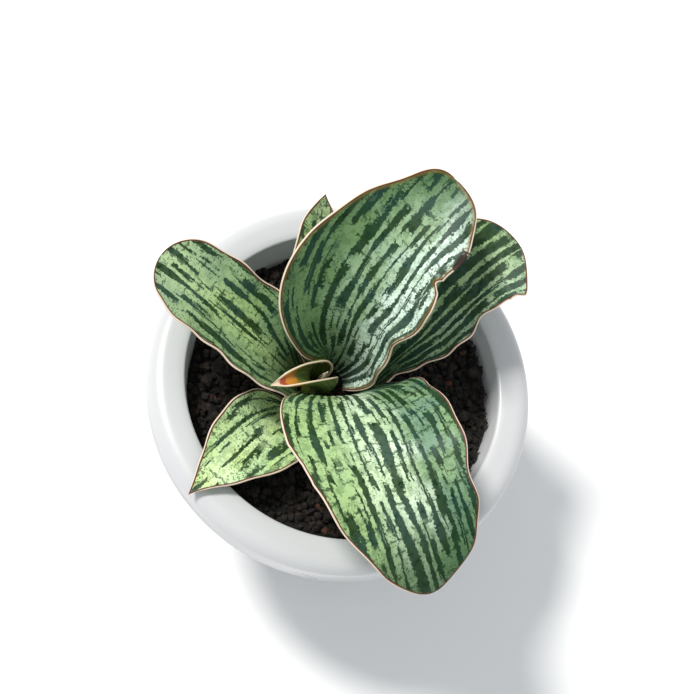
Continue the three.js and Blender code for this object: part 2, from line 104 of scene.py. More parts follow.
class Graph:
    """Adds nodes to a shader tree or a geometry tree and links them."""

    def __init__(self, tree: bpy.types.NodeTree) -> None:
        """Keeps the tree that the nodes go into."""
        self.tree = tree

    def add(self, kind: str, inputs: dict | None = None, **settings: object) -> bpy.types.Node:
        """Adds one node.

        Args:
            kind: The node's type name.
            inputs: Values or sockets, by input name or number.
            settings: The node's own properties.

        Returns:
            The new node.
        """
        node = self.tree.nodes.new(kind)
        for name, value in settings.items():
            setattr(node, name, value)
        for key, value in (inputs or {}).items():
            self.feed(node.inputs[key], value)
        return node

    def feed(self, socket: Socket, value: object) -> None:
        """Links a socket to an input, or sets the input's own value.

        Args:
            socket: The input.
            value: A socket or a plain value.
        """
        if isinstance(value, Socket):
            self.tree.links.new(value, socket)
        else:
            socket.default_value = value

    def math(self, operation: str, a: object, b: object = 0.0) -> Socket:
        """One math node's result."""
        return self.add("ShaderNodeMath", {0: a, 1: b}, operation=operation).outputs[0]

    def smooth(self, value: object, low: float, high: float) -> Socket:
        """A smooth step from 0 at low to 1 at high, where low may be the larger.

        Args:
            value: What is stepped.
            low: Where the step is 0.
            high: Where the step is 1.

        Returns:
            The step.
        """
        inputs = {0: value, 1: low, 2: high}
        kind = "ShaderNodeMapRange"
        return self.add(kind, inputs, interpolation_type="SMOOTHSTEP").outputs[0]

    def ranged(
        self, value: object, low: float, high: float, to_low: float, to_high: float
    ) -> Socket:
        """A linear change of range, held at its ends."""
        inputs = {0: value, 1: low, 2: high, 3: to_low, 4: to_high}
        return self.add("ShaderNodeMapRange", inputs).outputs[0]

    def combine(self, x: object, y: object, z: object) -> Socket:
        """A vector from three values."""
        return self.add("ShaderNodeCombineXYZ", {0: x, 1: y, 2: z}).outputs[0]

    def noise(self, place: object, scale: float, detail: float = 2.0) -> Socket:
        """Noise from 0 to 1 about 0.5, at a place and scale."""
        inputs = {"Vector": place, "Scale": scale, "Detail": detail, "Roughness": 0.55}
        return self.add("ShaderNodeTexNoise", inputs).outputs[0]

    def dice(self, place: object) -> Socket:
        """A random number for each place, from 0 to 1."""
        return self.add("ShaderNodeTexWhiteNoise", {"Vector": place}).outputs["Value"]

    def mix(self, share: object, a: object, b: object) -> Socket:
        """The colour between a and b at a share from 0 to 1."""
        return self.add("ShaderNodeMix", {0: share, 6: a, 7: b}, data_type="RGBA").outputs[2]

    def plus(self, a: object, b: object) -> Socket:
        """The sum a + b."""
        return self.math("ADD", a, b)

    def minus(self, a: object, b: object) -> Socket:
        """The difference a - b."""
        return self.math("SUBTRACT", a, b)

    def times(self, a: object, *others: object) -> Socket:
        """The product of a and the others.

        Args:
            a: The first factor.
            others: The other factors.

        Returns:
            The product.
        """
        for other in others:
            a = self.math("MULTIPLY", a, other)
        return a

    def centred(self, value: object, *reach: float) -> Socket:
        """Noise moved to lie about 0, and scaled by a reach."""
        return self.times(self.minus(value, 0.5), *reach)

    def read(self, attribute: str, output: str = "Fac") -> Socket:
        """An attribute of the piece's mesh."""
        return self.add("ShaderNodeAttribute", attribute_name=attribute).outputs[output]

    def place(self) -> Socket:
        """The place on the piece, in its own coordinates."""
        return self.add("ShaderNodeTexCoord").outputs["Object"]

    def axes(self, vector: Socket) -> tuple[Socket, Socket, Socket]:
        """A vector's three parts."""
        return tuple(self.add("ShaderNodeSeparateXYZ", {0: vector}).outputs)

    def bump(self, shader: bpy.types.Node, height: object, strength: float, depth: float) -> None:
        """Gives a shader a relief.

        Args:
            shader: The Principled BSDF node.
            height: The relief's height, from 0 to 1.
            strength: How strongly it shows.
            depth: What a height of 1 stands for, in metres.
        """
        relief = {"Strength": strength, "Distance": depth, "Height": height}
        self.feed(shader.inputs["Normal"], self.add("ShaderNodeBump", relief).outputs[0])

    def dress(
        self, shader: bpy.types.Node, colour: object, roughness: object, **others: float
    ) -> None:
        """Sets a shader's colour, its roughness and its other inputs.

        Args:
            shader: The Principled BSDF node.
            colour: Its base colour.
            roughness: Its roughness.
            others: The specular level, the coat's weight and the coat's roughness.
        """
        self.feed(shader.inputs["Base Color"], colour)
        self.feed(shader.inputs["Roughness"], roughness)
        for name, value in others.items():
            shader.inputs[SHADER_INPUTS[name]].default_value = value


def rgba(colour: Colour) -> tuple[float, float, float, float]:
    """A linear colour with full alpha."""
    return (*colour, 1.0)


def material_with(name: str) -> tuple[bpy.types.Material, Graph, bpy.types.Node]:
    """A new node material.

    Args:
        name: The material's name.

    Returns:
        The material, its graph and its Principled BSDF node.
    """
    material = bpy.data.materials.new(name)
    material.use_nodes = True
    graph = Graph(material.node_tree)
    return material, graph, material.node_tree.nodes["Principled BSDF"]


def linked(name: str, mesh: bpy.types.Mesh) -> bpy.types.Object:
    """A new object with this mesh, linked into the scene.

    Args:
        name: The object's name.
        mesh: Its mesh.

    Returns:
        The object.
    """
    piece = bpy.data.objects.new(name, mesh)
    bpy.context.scene.collection.objects.link(piece)
    return piece


def object_from(name: str, shape: bmesh.types.BMesh) -> bpy.types.Object:
    """A new object with a bmesh's shape. The bmesh is used up.

    Args:
        name: The object's name.
        shape: Its shape, in metres.

    Returns:
        The object.
    """
    mesh = bpy.data.meshes.new(name)
    shape.to_mesh(mesh)
    shape.free()
    return linked(name, mesh)


def mesh_object(name: str, points: np.ndarray, faces: list[tuple[int, ...]]) -> bpy.types.Object:
    """A mesh object at the origin, linked into the scene and shaded smooth.

    Args:
        name: The object's name.
        points: Vertex places in metres, one row each.
        faces: Vertex numbers of each face.

    Returns:
        The object.
    """
    mesh = bpy.data.meshes.new(name)
    mesh.from_pydata([tuple(p) for p in points], [], faces)
    mesh.shade_smooth()
    return linked(name, mesh)


def evaluated_copy(piece: bpy.types.Object, name: str) -> bpy.types.Object:
    """Turns a piece with live modifiers into a plain mesh object, and removes the piece.

    Args:
        piece: The object whose modifiers are to be applied.
        name: The new object's name.

    Returns:
        The plain mesh object.
    """
    graph = bpy.context.evaluated_depsgraph_get()
    mesh = bpy.data.meshes.new_from_object(piece.evaluated_get(graph))
    piece.modifiers.clear()
    bpy.data.objects.remove(piece)
    mesh.name = name
    return linked(name, mesh)


def hand_over(piece: bpy.types.Object, slot: str, *nodes: str) -> None:
    """Fixes a finished piece to the frame, hides the nodes it stands for and logs its finish slot.

    Args:
        piece: The finished piece.
        slot: The name of its material slot, which is only logged.
        nodes: The model's nodes that it replaces.
    """
    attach(piece, BODY)
    if nodes:
        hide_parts(*nodes)
    LOG.info("%s: %d faces, slot %s", piece.name, len(piece.data.polygons), slot)


# Finishes


@dataclass(frozen=True)
class PotPlastic:
    """White moulded plastic with a soft gloss."""

    colour: Colour = (0.57, 0.572, 0.585)
    dusty: Colour = (0.60, 0.595, 0.585)
    roughness: float = 0.3
    cloud_scale: float = 28.0
    grain_scale: float = 2400.0

    def material(self) -> bpy.types.Material:
        """The plastic's material: faint clouds in colour and gloss, and a fine moulded grain.

        Returns:
            The material.
        """
        material, g, shader = material_with("pot_plastic")
        place = g.place()
        clouds = g.noise(place, self.cloud_scale, 4.0)
        height = g.axes(place)[2]
        dust = g.times(g.smooth(clouds, 0.5, 0.75), g.smooth(height, 0.1, 0.0))
        tone = g.mix(g.ranged(clouds, 0.35, 0.65, 0.0, 0.12), rgba(self.colour), rgba(self.dusty))
        tone = g.mix(dust, tone, rgba(self.dusty))
        gloss = g.ranged(clouds, 0.3, 0.7, self.roughness - 0.04, self.roughness + 0.08)
        g.dress(shader, tone, gloss, coat=0.15, coat_roughness=0.15)
        g.bump(shader, g.noise(place, self.grain_scale, 1.0), 0.04, 0.0002)
        return material


@dataclass(frozen=True)
class Lava:
    """Matt porous lava, near black with brown and rust tints."""

    name: str = "lava"
    black: Colour = (0.006, 0.0055, 0.0052)
    brown: Colour = (0.026, 0.017, 0.013)
    rust: Colour = (0.10, 0.038, 0.022)
    ash: Colour = (0.085, 0.08, 0.074)
    pore_scale: float = 1500.0

    def material(self) -> bpy.types.Material:
        """The lava's material: a tint for each grain, pale worn corners and fine pores.

        Returns:
            The material.
        """
        material, g, shader = material_with(self.name)
        place = g.place()
        tint = g.read("tint")
        patches = g.noise(place, 260.0, 3.0)
        pores = g.noise(place, self.pore_scale, 3.0)
        warm = g.mix(g.smooth(patches, 0.42, 0.62), rgba(self.black), rgba(self.brown))
        rusty = g.times(g.smooth(tint, 0.9, 0.99), g.smooth(patches, 0.4, 0.62))
        tone = g.mix(rusty, warm, rgba(self.rust))
        worn = g.times(g.smooth(pores, 0.58, 0.75), g.ranged(tint, 0.0, 1.0, 0.05, 0.45))
        tone = g.mix(worn, tone, rgba(self.ash))
        g.dress(shader, tone, g.ranged(pores, 0.3, 0.7, 0.72, 0.95), specular=0.3)
        g.bump(shader, pores, 0.9, 0.0005)
        return material


@dataclass(frozen=True)
class RhizomeSkin:
    """Matt tan skin of the rhizome and its roots."""

    pale: Colour = (0.56, 0.43, 0.26)
    dark: Colour = (0.24, 0.14, 0.07)

    def material(self) -> bpy.types.Material:
        """The skin's material: ring scars, blotches and fine wrinkles.

        Returns:
            The material.
        """
        material, g, shader = material_with("rhizome_skin")
        place = g.place()
        wander = g.noise(place, 120.0, 2.0)
        rings = g.math("SINE", g.plus(g.times(g.axes(place)[2], 2600.0), 0.5))
        scars = g.smooth(g.plus(rings, wander), 1.0, 1.5)
        blotches = g.smooth(g.noise(place, 240.0, 3.0), 0.4, 0.65)
        share = g.math("MAXIMUM", g.times(scars, 0.7), g.times(blotches, 0.6))
        tone = g.mix(share, rgba(self.pale), rgba(self.dark))
        g.dress(shader, tone, g.ranged(wander, 0.3, 0.7, 0.7, 0.9))
        g.bump(shader, g.noise(place, 900.0, 3.0), 0.5, 0.0004)
        return material


@dataclass(frozen=True)
class LeafSkin:
    """Waxy leaf skin: a pale ground with painted light and shade, broken dark stripes, and a thin
    coloured margin.

    The blade carries two attributes. "blade" is the lane (-1 to 1, the same all along a stripe), the
    way along the leaf and the way to the side of its midrib, both in millimetres; "margin" is the
    distance to the margin in millimetres.
    """

    seed: float = 0.0
    stripes: float = 10.0
    stripe_share: float = 0.21
    stripe_gaps: float = 0.42
    rung_gap: float = 5.0
    rung_share: float = 0.3
    ground: Colour = (0.38, 0.53, 0.35)
    # The side tones are painted light and shade: one half of the blade is painted paler, as if lit,
    # and the other darker, as if shaded.
    ground_left_painted_shading: Colour = (0.26, 0.40, 0.22)
    ground_right_painted_shading: Colour = (0.30, 0.44, 0.28)
    ground_warm: Colour = (0.38, 0.55, 0.18)
    warm_share: float = 0.5
    cloudiness: float = 0.75
    cloud_colour: Colour = (0.05, 0.12, 0.04)
    # Painted shade: toward the tip the skin turns to the tip colour, darker on most leaves and paler
    # on leaf_left.
    tip_start: float = 0.8
    tip_shade: float = 0.3
    tip_shade_colour: Colour = (0.04, 0.11, 0.035)
    # Painted shade toward the base of the blade, where the crown and the leaves above shade it.
    base_shade: float = 0.2
    base_shade_colour: Colour = (0.03, 0.075, 0.025)
    scar_place: float = 0.0
    scar_colour: Colour = (0.022, 0.012, 0.009)
    stripe: Colour = (0.0025, 0.026, 0.003)
    stripe_cool: Colour = (0.005, 0.038, 0.024)
    speckle: float = 0.75
    margin_colour: Colour = (0.11, 0.035, 0.022)
    margin_width: float = 0.7
    # The cream lip is the real pale edge, made paler and wider as a painted highlight of the sunlit
    # edge.
    lip_and_highlight_colour: Colour = (0.74, 0.61, 0.47)
    blush_colour: Colour = (0.22, 0.15, 0.03)
    blush_width: float = 0.0

    def material(self, name: str, length: float) -> bpy.types.Material:
        """The skin's material for one leaf.

        Args:
            name: The leaf's name.
            length: The blade's length in millimetres.

        Returns:
            The material.
        """
        material, g, shader = material_with(f"{name}_skin")
        drawn = LeafPattern(self, g)
        pattern = g.math("MAXIMUM", drawn.stripes(), drawn.rungs())
        pattern = g.math("MAXIMUM", pattern, drawn.specks())

        skin = drawn.ground()
        reach = g.plus(g.math("DIVIDE", drawn.along, length), g.times(drawn.ragged, 0.12))
        # Painted shade toward the tip.
        shade = g.times(g.smooth(reach, self.tip_start, 1.0), self.tip_shade)
        skin = g.mix(shade, skin, rgba(self.tip_shade_colour))
        # Painted shade: the skin darkens toward the base.
        painted_base_shade = g.times(g.smooth(reach, 0.5, 0.22), self.base_shade)
        skin = g.mix(painted_base_shade, skin, rgba(self.base_shade_colour))
        drift = g.noise(drawn.sheet, 0.06, 2.0)
        ink = g.mix(g.smooth(drift, 0.42, 0.6), rgba(self.stripe), rgba(self.stripe_cool))
        strength = g.ranged(drawn.mottle, 0.32, 0.68, 1.0, 0.86)
        skin = g.mix(g.times(pattern, strength), skin, ink)
        skin = drawn.edged(skin)
        if self.scar_place > 0:
            skin = drawn.scarred(skin)

        fibres = drawn.fibres()
        gloss = g.ranged(g.plus(fibres, drawn.mottle), 0.7, 1.3, 0.34, 0.5)
        g.dress(shader, skin, gloss, specular=0.16, coat=0.03, coat_roughness=0.3)
        relief = g.plus(g.times(fibres, 0.7), g.times(drawn.mottle, 0.8))
        relief = g.minus(relief, g.times(pattern, 0.25))
        g.bump(shader, relief, 0.5, 0.0003)
        return material


@dataclass
class LeafPattern:
    """The places and noises that a leaf's skin is drawn with, and the parts that make it up."""

    look: LeafSkin
    g: Graph

    def __post_init__(self) -> None:
        """Reads the blade's attributes into the graph."""
        g = self.g
        self.lane, self.along, self.side = g.axes(g.read("blade", "Vector"))
        self.rim = g.read("margin")
        self.sheet = g.combine(self.side, self.along, self.look.seed)
        self.ragged = g.centred(g.noise(self.sheet, 0.8, 4.0))
        self.mottle = g.noise(self.sheet, 0.42, 5.0)

    def fibres(self) -> Socket:
        """Fine fibres that run along the leaf."""
        g = self.g
        place = g.combine(g.times(self.side, 3.0), g.times(self.along, 0.25), 3.0)
        return g.noise(place, 1.0, 3.0)

    def ground(self) -> Socket:
        """The pale ground: painted light and shade down each side, with warm drifts and darker clouds.

        Returns:
            The ground's colour.
        """
        g, look = self.g, self.look
        drift = g.noise(self.sheet, 0.07, 2.0)
        # Painted light and shade: across the lanes the ground turns to a paler lit tone and a darker
        # shaded tone.
        place = g.plus(self.lane, g.centred(drift, 0.8))
        ground = g.mix(g.smooth(place, 0.02, 0.46), rgba(look.ground), rgba(look.ground_left_painted_shading))
        ground = g.mix(g.smooth(place, -0.08, -0.55), ground, rgba(look.ground_right_painted_shading))
        warmth = g.times(g.smooth(drift, 0.4, 0.62), look.warm_share)
        ground = g.mix(warmth, ground, rgba(look.ground_warm))
        clouds = g.times(g.smooth(self.mottle, 0.44, 0.62), look.cloudiness)
        return g.mix(clouds, ground, g.mix(0.5, ground, rgba(look.cloud_colour)))

    def stripes(self) -> Socket:
        """Where the dark stripes are, from 0 to 1: broken bands, and thinner ones between them.

        Returns:
            The stripes' strength.
        """
        g, look = self.g, self.look
        slow = g.combine(g.times(self.lane, 3.0), g.times(self.along, 0.018), look.seed)
        bend = g.centred(g.noise(slow, 1.0, 1.0), 1.6)
        column = g.plus(g.times(self.lane, look.stripes / 2), bend)
        column = g.plus(column, g.times(self.ragged, 0.5))
        stepped = g.plus(self.along, g.times(self.ragged, 9.0))
        wide = self._bands(column, stepped, look.stripe_share, look.stripe_gaps, 0.06)
        finer = g.plus(g.times(column, 2.0), 0.5)
        thin = self._bands(finer, stepped, look.stripe_share * 0.75, 0.53, 0.08)
        return g.math("MAXIMUM", wide, thin)

    def _bands(
        self, column: Socket, stepped: Socket, share: float, gap: float, pace: float
    ) -> Socket:
        """Bands at whole columns, which swell, thin out and break off along the leaf.

        Args:
            column: The column's number, with its fractions.
            stepped: The way along the leaf, ragged, in millimetres.
            share: Half of a band's share of its column.
            gap: The noise level under which a band is broken.
            pace: How fast the bands change along the leaf, in turns per millimetre.

        Returns:
            Where the bands are, from 0 to 1.
        """
        g, look = self.g, self.look
        index = g.math("ROUND", column)
        offset = g.math("ABSOLUTE", g.minus(column, index))
        row = g.times(index, 5.37)
        slow = g.times(stepped, pace * 0.8)
        swell = g.noise(g.combine(row, slow, look.seed + 2), 1.0, 1.0)
        width = g.ranged(swell, 0.32, 0.68, share * 0.4, share * 1.8)
        band = g.smooth(g.minus(offset, width), 0.045, -0.045)
        breaks = g.noise(g.combine(row, g.times(stepped, pace), look.seed + 5), 1.0, 1.0)
        return g.times(band, g.smooth(breaks, gap - 0.02, gap + 0.02))

    def rungs(self) -> Socket:
        """Short cross-links between the stripes, from 0 to 1.

        Returns:
            The links' strength.
        """
        g, look = self.g, self.look
        index = g.math("ROUND", g.times(self.lane, look.stripes / 2))
        start = g.times(g.dice(g.combine(index, look.seed, 1.0)), 9.0)
        stepped = g.plus(g.plus(self.along, start), g.times(self.ragged, 4.0))
        rung = g.times(stepped, 1 / look.rung_gap)
        rung_index = g.math("ROUND", rung)
        offset = g.math("ABSOLUTE", g.minus(rung, rung_index))
        throw = g.dice(g.combine(index, rung_index, look.seed))
        chosen = g.math("GREATER_THAN", throw, 1 - look.rung_share)
        return g.times(g.smooth(offset, 0.11, 0.04), chosen, 0.85)

    def specks(self) -> Socket:
        """Where the fine dark specks are, from 0 to 1: in patches, and thicker near the margin.

        Returns:
            The specks' strength.
        """
        g, look = self.g, self.look
        grain = g.noise(self.sheet, 1.3, 3.0)
        near = g.times(g.smooth(self.rim, 7.0, 1.0), 0.05)
        patch = g.times(g.smooth(g.noise(self.sheet, 0.13, 2.0), 0.42, 0.6), 0.06)
        level = g.plus(g.plus(grain, near), patch)
        return g.times(g.smooth(level, 0.63, 0.68), look.speckle)

    def edged(self, skin: Socket) -> Socket:
        """The skin with its blush, its brown margin and its thin pale lip, partly the real cream edge
        and partly a painted highlight on the lit edge.

        Args:
            skin: The skin's colour so far.

        Returns:
            The skin's colour with its edge.
        """
        g, look = self.g, self.look
        wander = g.centred(g.noise(self.sheet, 0.22, 2.0), 0.8)
        edge = g.plus(self.rim, wander)
        if look.blush_width > 0:
            glow = g.smooth(edge, look.blush_width, look.blush_width * 0.15)
            skin = g.mix(g.times(glow, 0.7), skin, rgba(look.blush_colour))
        brown = g.smooth(edge, look.margin_width, look.margin_width * 0.5)
        skin = g.mix(brown, skin, rgba(look.margin_colour))
        # Real cream edge, widened and paled as a painted highlight on the lit margin.
        lip = g.smooth(g.plus(self.rim, g.times(wander, 0.25)), -0.02, -0.14)
        return g.mix(lip, skin, rgba(look.lip_and_highlight_colour))

    def scarred(self, skin: Socket) -> Socket:
        """The skin with a dead brown scar at its right margin.

        Args:
            skin: The skin's colour so far.

        Returns:
            The skin's colour with the scar.
        """
        g, look = self.g, self.look
        away = g.math("ABSOLUTE", g.minus(self.along, look.scar_place))
        spread = g.plus(away, g.times(self.ragged, 9.0))
        spot = g.times(g.smooth(spread, 5.0, 3.2), g.smooth(self.rim, 3.4, 1.6))
        right = g.math("LESS_THAN", self.side, 0.0)
        return g.mix(g.times(spot, right), skin, rgba(look.scar_colour))


@dataclass(frozen=True)
class YoungSkin:
    """The youngest leaf: olive with faint stripes, then orange, red and a dry cream tip.

    Each colour starts at one share of the leaf's length and is full at the next; the cream lip
    does so at two distances from the margin, in millimetres.
    """

    olive: Colour = (0.10, 0.13, 0.02)
    green: Colour = (0.045, 0.10, 0.012)
    orange: Colour = (0.50, 0.20, 0.02)
    red: Colour = (0.33, 0.05, 0.015)
    cream: Colour = (0.74, 0.60, 0.42)
    orange_at: tuple[float, float] = (0.69, 0.8)
    red_at: tuple[float, float] = (0.84, 0.89)
    cream_at: tuple[float, float] = (0.9, 0.94)
    lip_at: tuple[float, float] = (0.9, 0.35)

    def material(self, name: str, length: float) -> bpy.types.Material:
        """The young leaf's material.

        Args:
            name: The leaf's name.
            length: The blade's length in millimetres.

        Returns:
            The material.
        """
        material, g, shader = material_with(f"{name}_skin")
        _, along, side = g.axes(g.read("blade", "Vector"))
        ragged = g.centred(g.noise(g.combine(side, along, 4.0), 0.6, 3.0))
        reach = g.math("DIVIDE", g.plus(along, g.times(ragged, 7.0)), length)
        drawn = g.combine(g.times(side, 1.1), g.times(along, 0.06), 2.0)
        lines = g.noise(drawn, 1.0, 2.0)
        skin = g.mix(g.smooth(lines, 0.42, 0.58), rgba(self.olive), rgba(self.green))
        bands = (self.orange_at, self.orange), (self.red_at, self.red), (self.cream_at, self.cream)
        for (start, full), colour in bands:
            skin = g.mix(g.smooth(reach, start, full), skin, rgba(colour))
        skin = g.mix(g.smooth(g.read("margin"), *self.lip_at), skin, rgba(self.cream))
        gloss = g.ranged(lines, 0.3, 0.7, 0.34, 0.55)
        g.dress(shader, skin, gloss, coat=0.15, coat_roughness=0.3)
        g.bump(shader, g.plus(lines, ragged), 0.5, 0.0003)
        return material


@dataclass(frozen=True)
class DryHusk:
    """Papery cream tissue of a dried leaf edge."""

    cream: Colour = (0.78, 0.68, 0.52)
    tan: Colour = (0.42, 0.24, 0.11)

    def material(self, name: str) -> bpy.types.Material:
        """The husk's material: cream with tan streaks.

        Args:
            name: The leaf's name.

        Returns:
            The material.
        """
        material, g, shader = material_with(f"{name}_husk")
        streaks = g.noise(g.read("blade", "Vector"), 1.2, 4.0)
        tone = g.mix(g.smooth(streaks, 0.45, 0.7), rgba(self.cream), rgba(self.tan))
        g.dress(shader, tone, g.ranged(streaks, 0.3, 0.7, 0.6, 0.85))
        g.bump(shader, streaks, 0.6, 0.0003)
        return material


# Leaf blades


@dataclass(frozen=True)
class Ruffle:
    """A wave in a blade's margin: waves per blade, height and phase in turns."""

    side: Side
    waves: float
    height: float
    phase: float
    lift: float = 0.0


@dataclass(frozen=True)
class Notch:
    """A bite out of a margin: its place along the blade, its half-length and its depth in mm."""

    side: Side
    place: float
    reach: float
    depth: float


@dataclass(frozen=True)
class Blade:
    """One leaf's form, in millimetres and degrees, from its base to its tip.

    The base is set off from the crown. The midrib sets out at the heading, turned by the sweep,
    and climbs at the rise. Left and right are the half-widths, and the curl is each half's turn.
    """

    name: str
    base: tuple[float, float]
    heading: float
    sweep: tuple[float, ...]
    rise: tuple[float, ...]
    length: float
    left: tuple[float, ...]
    right: tuple[float, ...]
    curl: tuple[float, ...]
    thickness: tuple[float, ...]
    tip_sharpness: float
    tip_roundness: float
    ruffles: tuple[Ruffle, ...] = ()
    notches: tuple[Notch, ...] = ()
    stations: int = 170
    columns: int = 48
    edge_thickness: float = 0.9
    edge_steps: int = 3
    tip_crowding: float = 1.7
    tip_stop: float = 0.9995

    def directions(self, v: np.ndarray) -> tuple[np.ndarray, np.ndarray, np.ndarray]:
        """The midrib's direction, and the two directions square to it.

        Args:
            v: Places along the midrib, from 0 to 1.

        Returns:
            The unit vectors along, to the left and up, one row for each place.
        """
        rise = np.radians(Curve.through(self.rise, v))
        course = np.radians(self.heading + Curve.through(self.sweep, v))
        flat = np.cos(rise)
        along = np.stack([flat * np.cos(course), flat * np.sin(course), np.sin(rise)], -1)
        left = np.stack([-np.sin(course), np.cos(course), np.zeros_like(course)], -1)
        return along, left, np.cross(along, left)

    def midrib(self, v: np.ndarray, crown: np.ndarray) -> np.ndarray:
        """Points on the midrib.

        Args:
            v: Places along the midrib, from 0 to 1.
            crown: The crown's place, from which the base is set off.

        Returns:
            One point for each place.
        """
        fine_steps = 240
        fine = np.linspace(0, 1, fine_steps + 1)
        middles = (fine[:-1] + fine[1:]) / 2
        steps = self.directions(middles)[0] * self.length / fine_steps
        start = crown + np.array([self.base[0], self.base[1], 0.0])
        points = np.concatenate([[start], start + np.cumsum(steps, axis=0)])
        return np.stack([np.interp(v, fine, points[:, k]) for k in range(3)], -1)

    def half_width(self, v: np.ndarray, side: Side) -> np.ndarray:
        """The blade's half-width on one side, with its scallops and notches.

        Args:
            v: Places along the midrib, from 0 to 1.
            side: Which half.

        Returns:
            The half-width at each place.
        """
        width = Curve.through(self.left if side is Side.LEFT else self.right, v)
        for ruffle in self.ruffles:
            if ruffle.side is side:
                wave = np.sin(2 * np.pi * (ruffle.waves * v + ruffle.phase))
                width = width + ruffle.height * wave * np.clip(4 * v, 0, 1)
        width = width * (1 - v**self.tip_sharpness) ** self.tip_roundness
        for notch in self.notches:
            if notch.side is side:
                bite = np.clip(1 - np.abs(v - notch.place) / notch.reach, 0, 1)
                width = width - notch.depth * bite**0.7
        return np.maximum(width, 0.05)

    def lane_width(self, v: np.ndarray, side: Side) -> np.ndarray:
        """The half-width that the stripes follow: past the widest place they run on side by side.

        Args:
            v: Places along the midrib, from 0 to 1.
            side: Which half.

        Returns:
            The half-width at each place.
        """
        given = self.left if side is Side.LEFT else self.right
        widest = np.maximum.accumulate(np.asarray(given, float))
        return Curve.through(tuple(widest), v)

    def _lift(self, v: np.ndarray, u: float, side: Side) -> np.ndarray:
        """How far the ruffles lift a point of the blade off its smooth form.

        Args:
            v: Places along the midrib, from 0 to 1.
            u: The way across, from -1 at the right margin to 1 at the left.
            side: Which half.

        Returns:
            The lift at each place, in millimetres.
        """
        lift = np.zeros_like(v)
        for ruffle in self.ruffles:
            if ruffle.side is side and ruffle.lift:
                wave = np.sin(2 * np.pi * (ruffle.waves * v + ruffle.phase + 0.2))
                lift = lift + ruffle.lift * wave * np.clip(4 * v, 0, 1) * np.clip(8 * (1 - v), 0, 1)
        return lift * abs(u) ** 2.5

    def build(self, crown: np.ndarray) -> bpy.types.Object:
        """The blade as a closed sheet with rounded margins.

        Args:
            crown: The crown's place, in millimetres.

        Returns:
            The mesh object, with the attributes "blade" and "margin" and a UV map.
        """
        s = np.linspace(0, 1, self.stations + 1)
        v = (1 - (1 - s) ** self.tip_crowding) * self.tip_stop
        _, left, up = self.directions(v)
        spine = self.midrib(v, crown)
        curl = np.radians(np.maximum(Curve.through(self.curl, v), 1.0))
        middle = Curve.through(self.thickness, v)
        widths = {side: self.half_width(v, side) for side in Side}
        lanes = {side: widths[side] / self.lane_width(v, side) for side in Side}

        ring: list[np.ndarray] = []
        blade: list[np.ndarray] = []
        margin: list[np.ndarray] = []

        def frame_at(u: float) -> tuple[np.ndarray, ...]:
            """The blade's point, normal, way out, thickness and half-width at u, on every station.

            Args:
                u: The way across, from -1 to 1.

            Returns:
                The five values, one row for each station.
            """
            side = Side.LEFT if u >= 0 else Side.RIGHT
            half = widths[side]
            angle = curl * abs(u)
            radius = half / curl
            point = spine + left * (side.value * radius * np.sin(angle))[:, None]
            point = point + up * (radius * (1 - np.cos(angle)))[:, None]
            cos, sin = np.cos(angle)[:, None], np.sin(angle)[:, None]
            normal = up * cos - left * side.value * sin
            outward = left * side.value * cos + up * sin
            point = point + normal * self._lift(v, u, side)[:, None]
            shrink = np.clip(half / 3.0, 0.25, 1.0)
            thickness = (middle + (self.edge_thickness - middle) * u * u) * shrink
            return point, normal, outward, thickness, half

        def put(point: np.ndarray, u: float, half: np.ndarray, rim: np.ndarray) -> None:
            """Adds one line of points along the blade, with its attributes.

            Args:
                point: The line's points.
                u: The way across, from -1 to 1.
                half: The half-widths there.
                rim: The distances to the margin.
            """
            lane = u * lanes[Side.LEFT if u >= 0 else Side.RIGHT]
            ring.append(point)
            blade.append(np.stack([lane, v * self.length, u * half], -1))
            margin.append(rim)

        across = np.linspace(-1, 1, self.columns + 1)
        unknown = np.full_like(v, np.nan)
        for u in across:
            point, _, _, _, half = frame_at(u)
            put(point, u, half, unknown)
        for edge, order in ((1.0, 1), (-1.0, -1)):
            point, normal, outward, thickness, half = frame_at(edge)
            turns = [math.pi * (k + 1) / (self.edge_steps + 1) for k in range(self.edge_steps)]
            for turn in turns[::order]:
                centre = point - normal * (thickness / 2)[:, None]
                bulge = normal * math.cos(turn) + outward * math.sin(turn)
                rim = np.full_like(v, -0.4 * math.sin(turn))
                put(centre + bulge * (thickness / 2)[:, None], edge, half, rim)
            if order == 1:
                for u in across[::-1]:
                    point, normal, _, thickness, half = frame_at(u)
                    put(point - normal * thickness[:, None], u, half, unknown)

        rings = np.array(ring).transpose(1, 0, 2)
        count = rings.shape[1]
        faces = self._faces(len(v), count)
        piece = mesh_object(self.name, rings.reshape(-1, 3) * MM, faces)
        rim = np.array(margin).T
        self._measure_margin(rings, rim)
        self._paint(piece, np.array(blade).transpose(1, 0, 2).reshape(-1, 3), rim.reshape(-1))
        return piece

    def _faces(self, stations: int, count: int) -> list[tuple[int, ...]]:
        """The sheet's quads, with a closed base and tip.

        Args:
            stations: How many rings there are.
            count: How many points a ring has.

        Returns:
            Vertex numbers of each face, turned outwards.
        """
        faces = []
        for j in range(stations - 1):
            for i in range(count):
                a, b = j * count + i, j * count + (i + 1) % count
                faces.append((a, b, b + count, a + count))
        top = self.columns + 1
        lower = [top + self.edge_steps + k for k in range(top)][::-1]
        last = (stations - 1) * count
        for i in range(self.columns):
            faces.append((i, lower[i], lower[i + 1], i + 1))
            faces.append((last + i, last + i + 1, last + lower[i + 1], last + lower[i]))
        right_edge = [self.columns, *range(top, top + self.edge_steps), top + self.edge_steps]
        left_edge = [2 * top + self.edge_steps - 1, *range(2 * top + self.edge_steps, count), 0]
        for loop in (right_edge, left_edge):
            faces.append(tuple(loop[::-1]))
            faces.append(tuple(last + k for k in loop))
        return faces

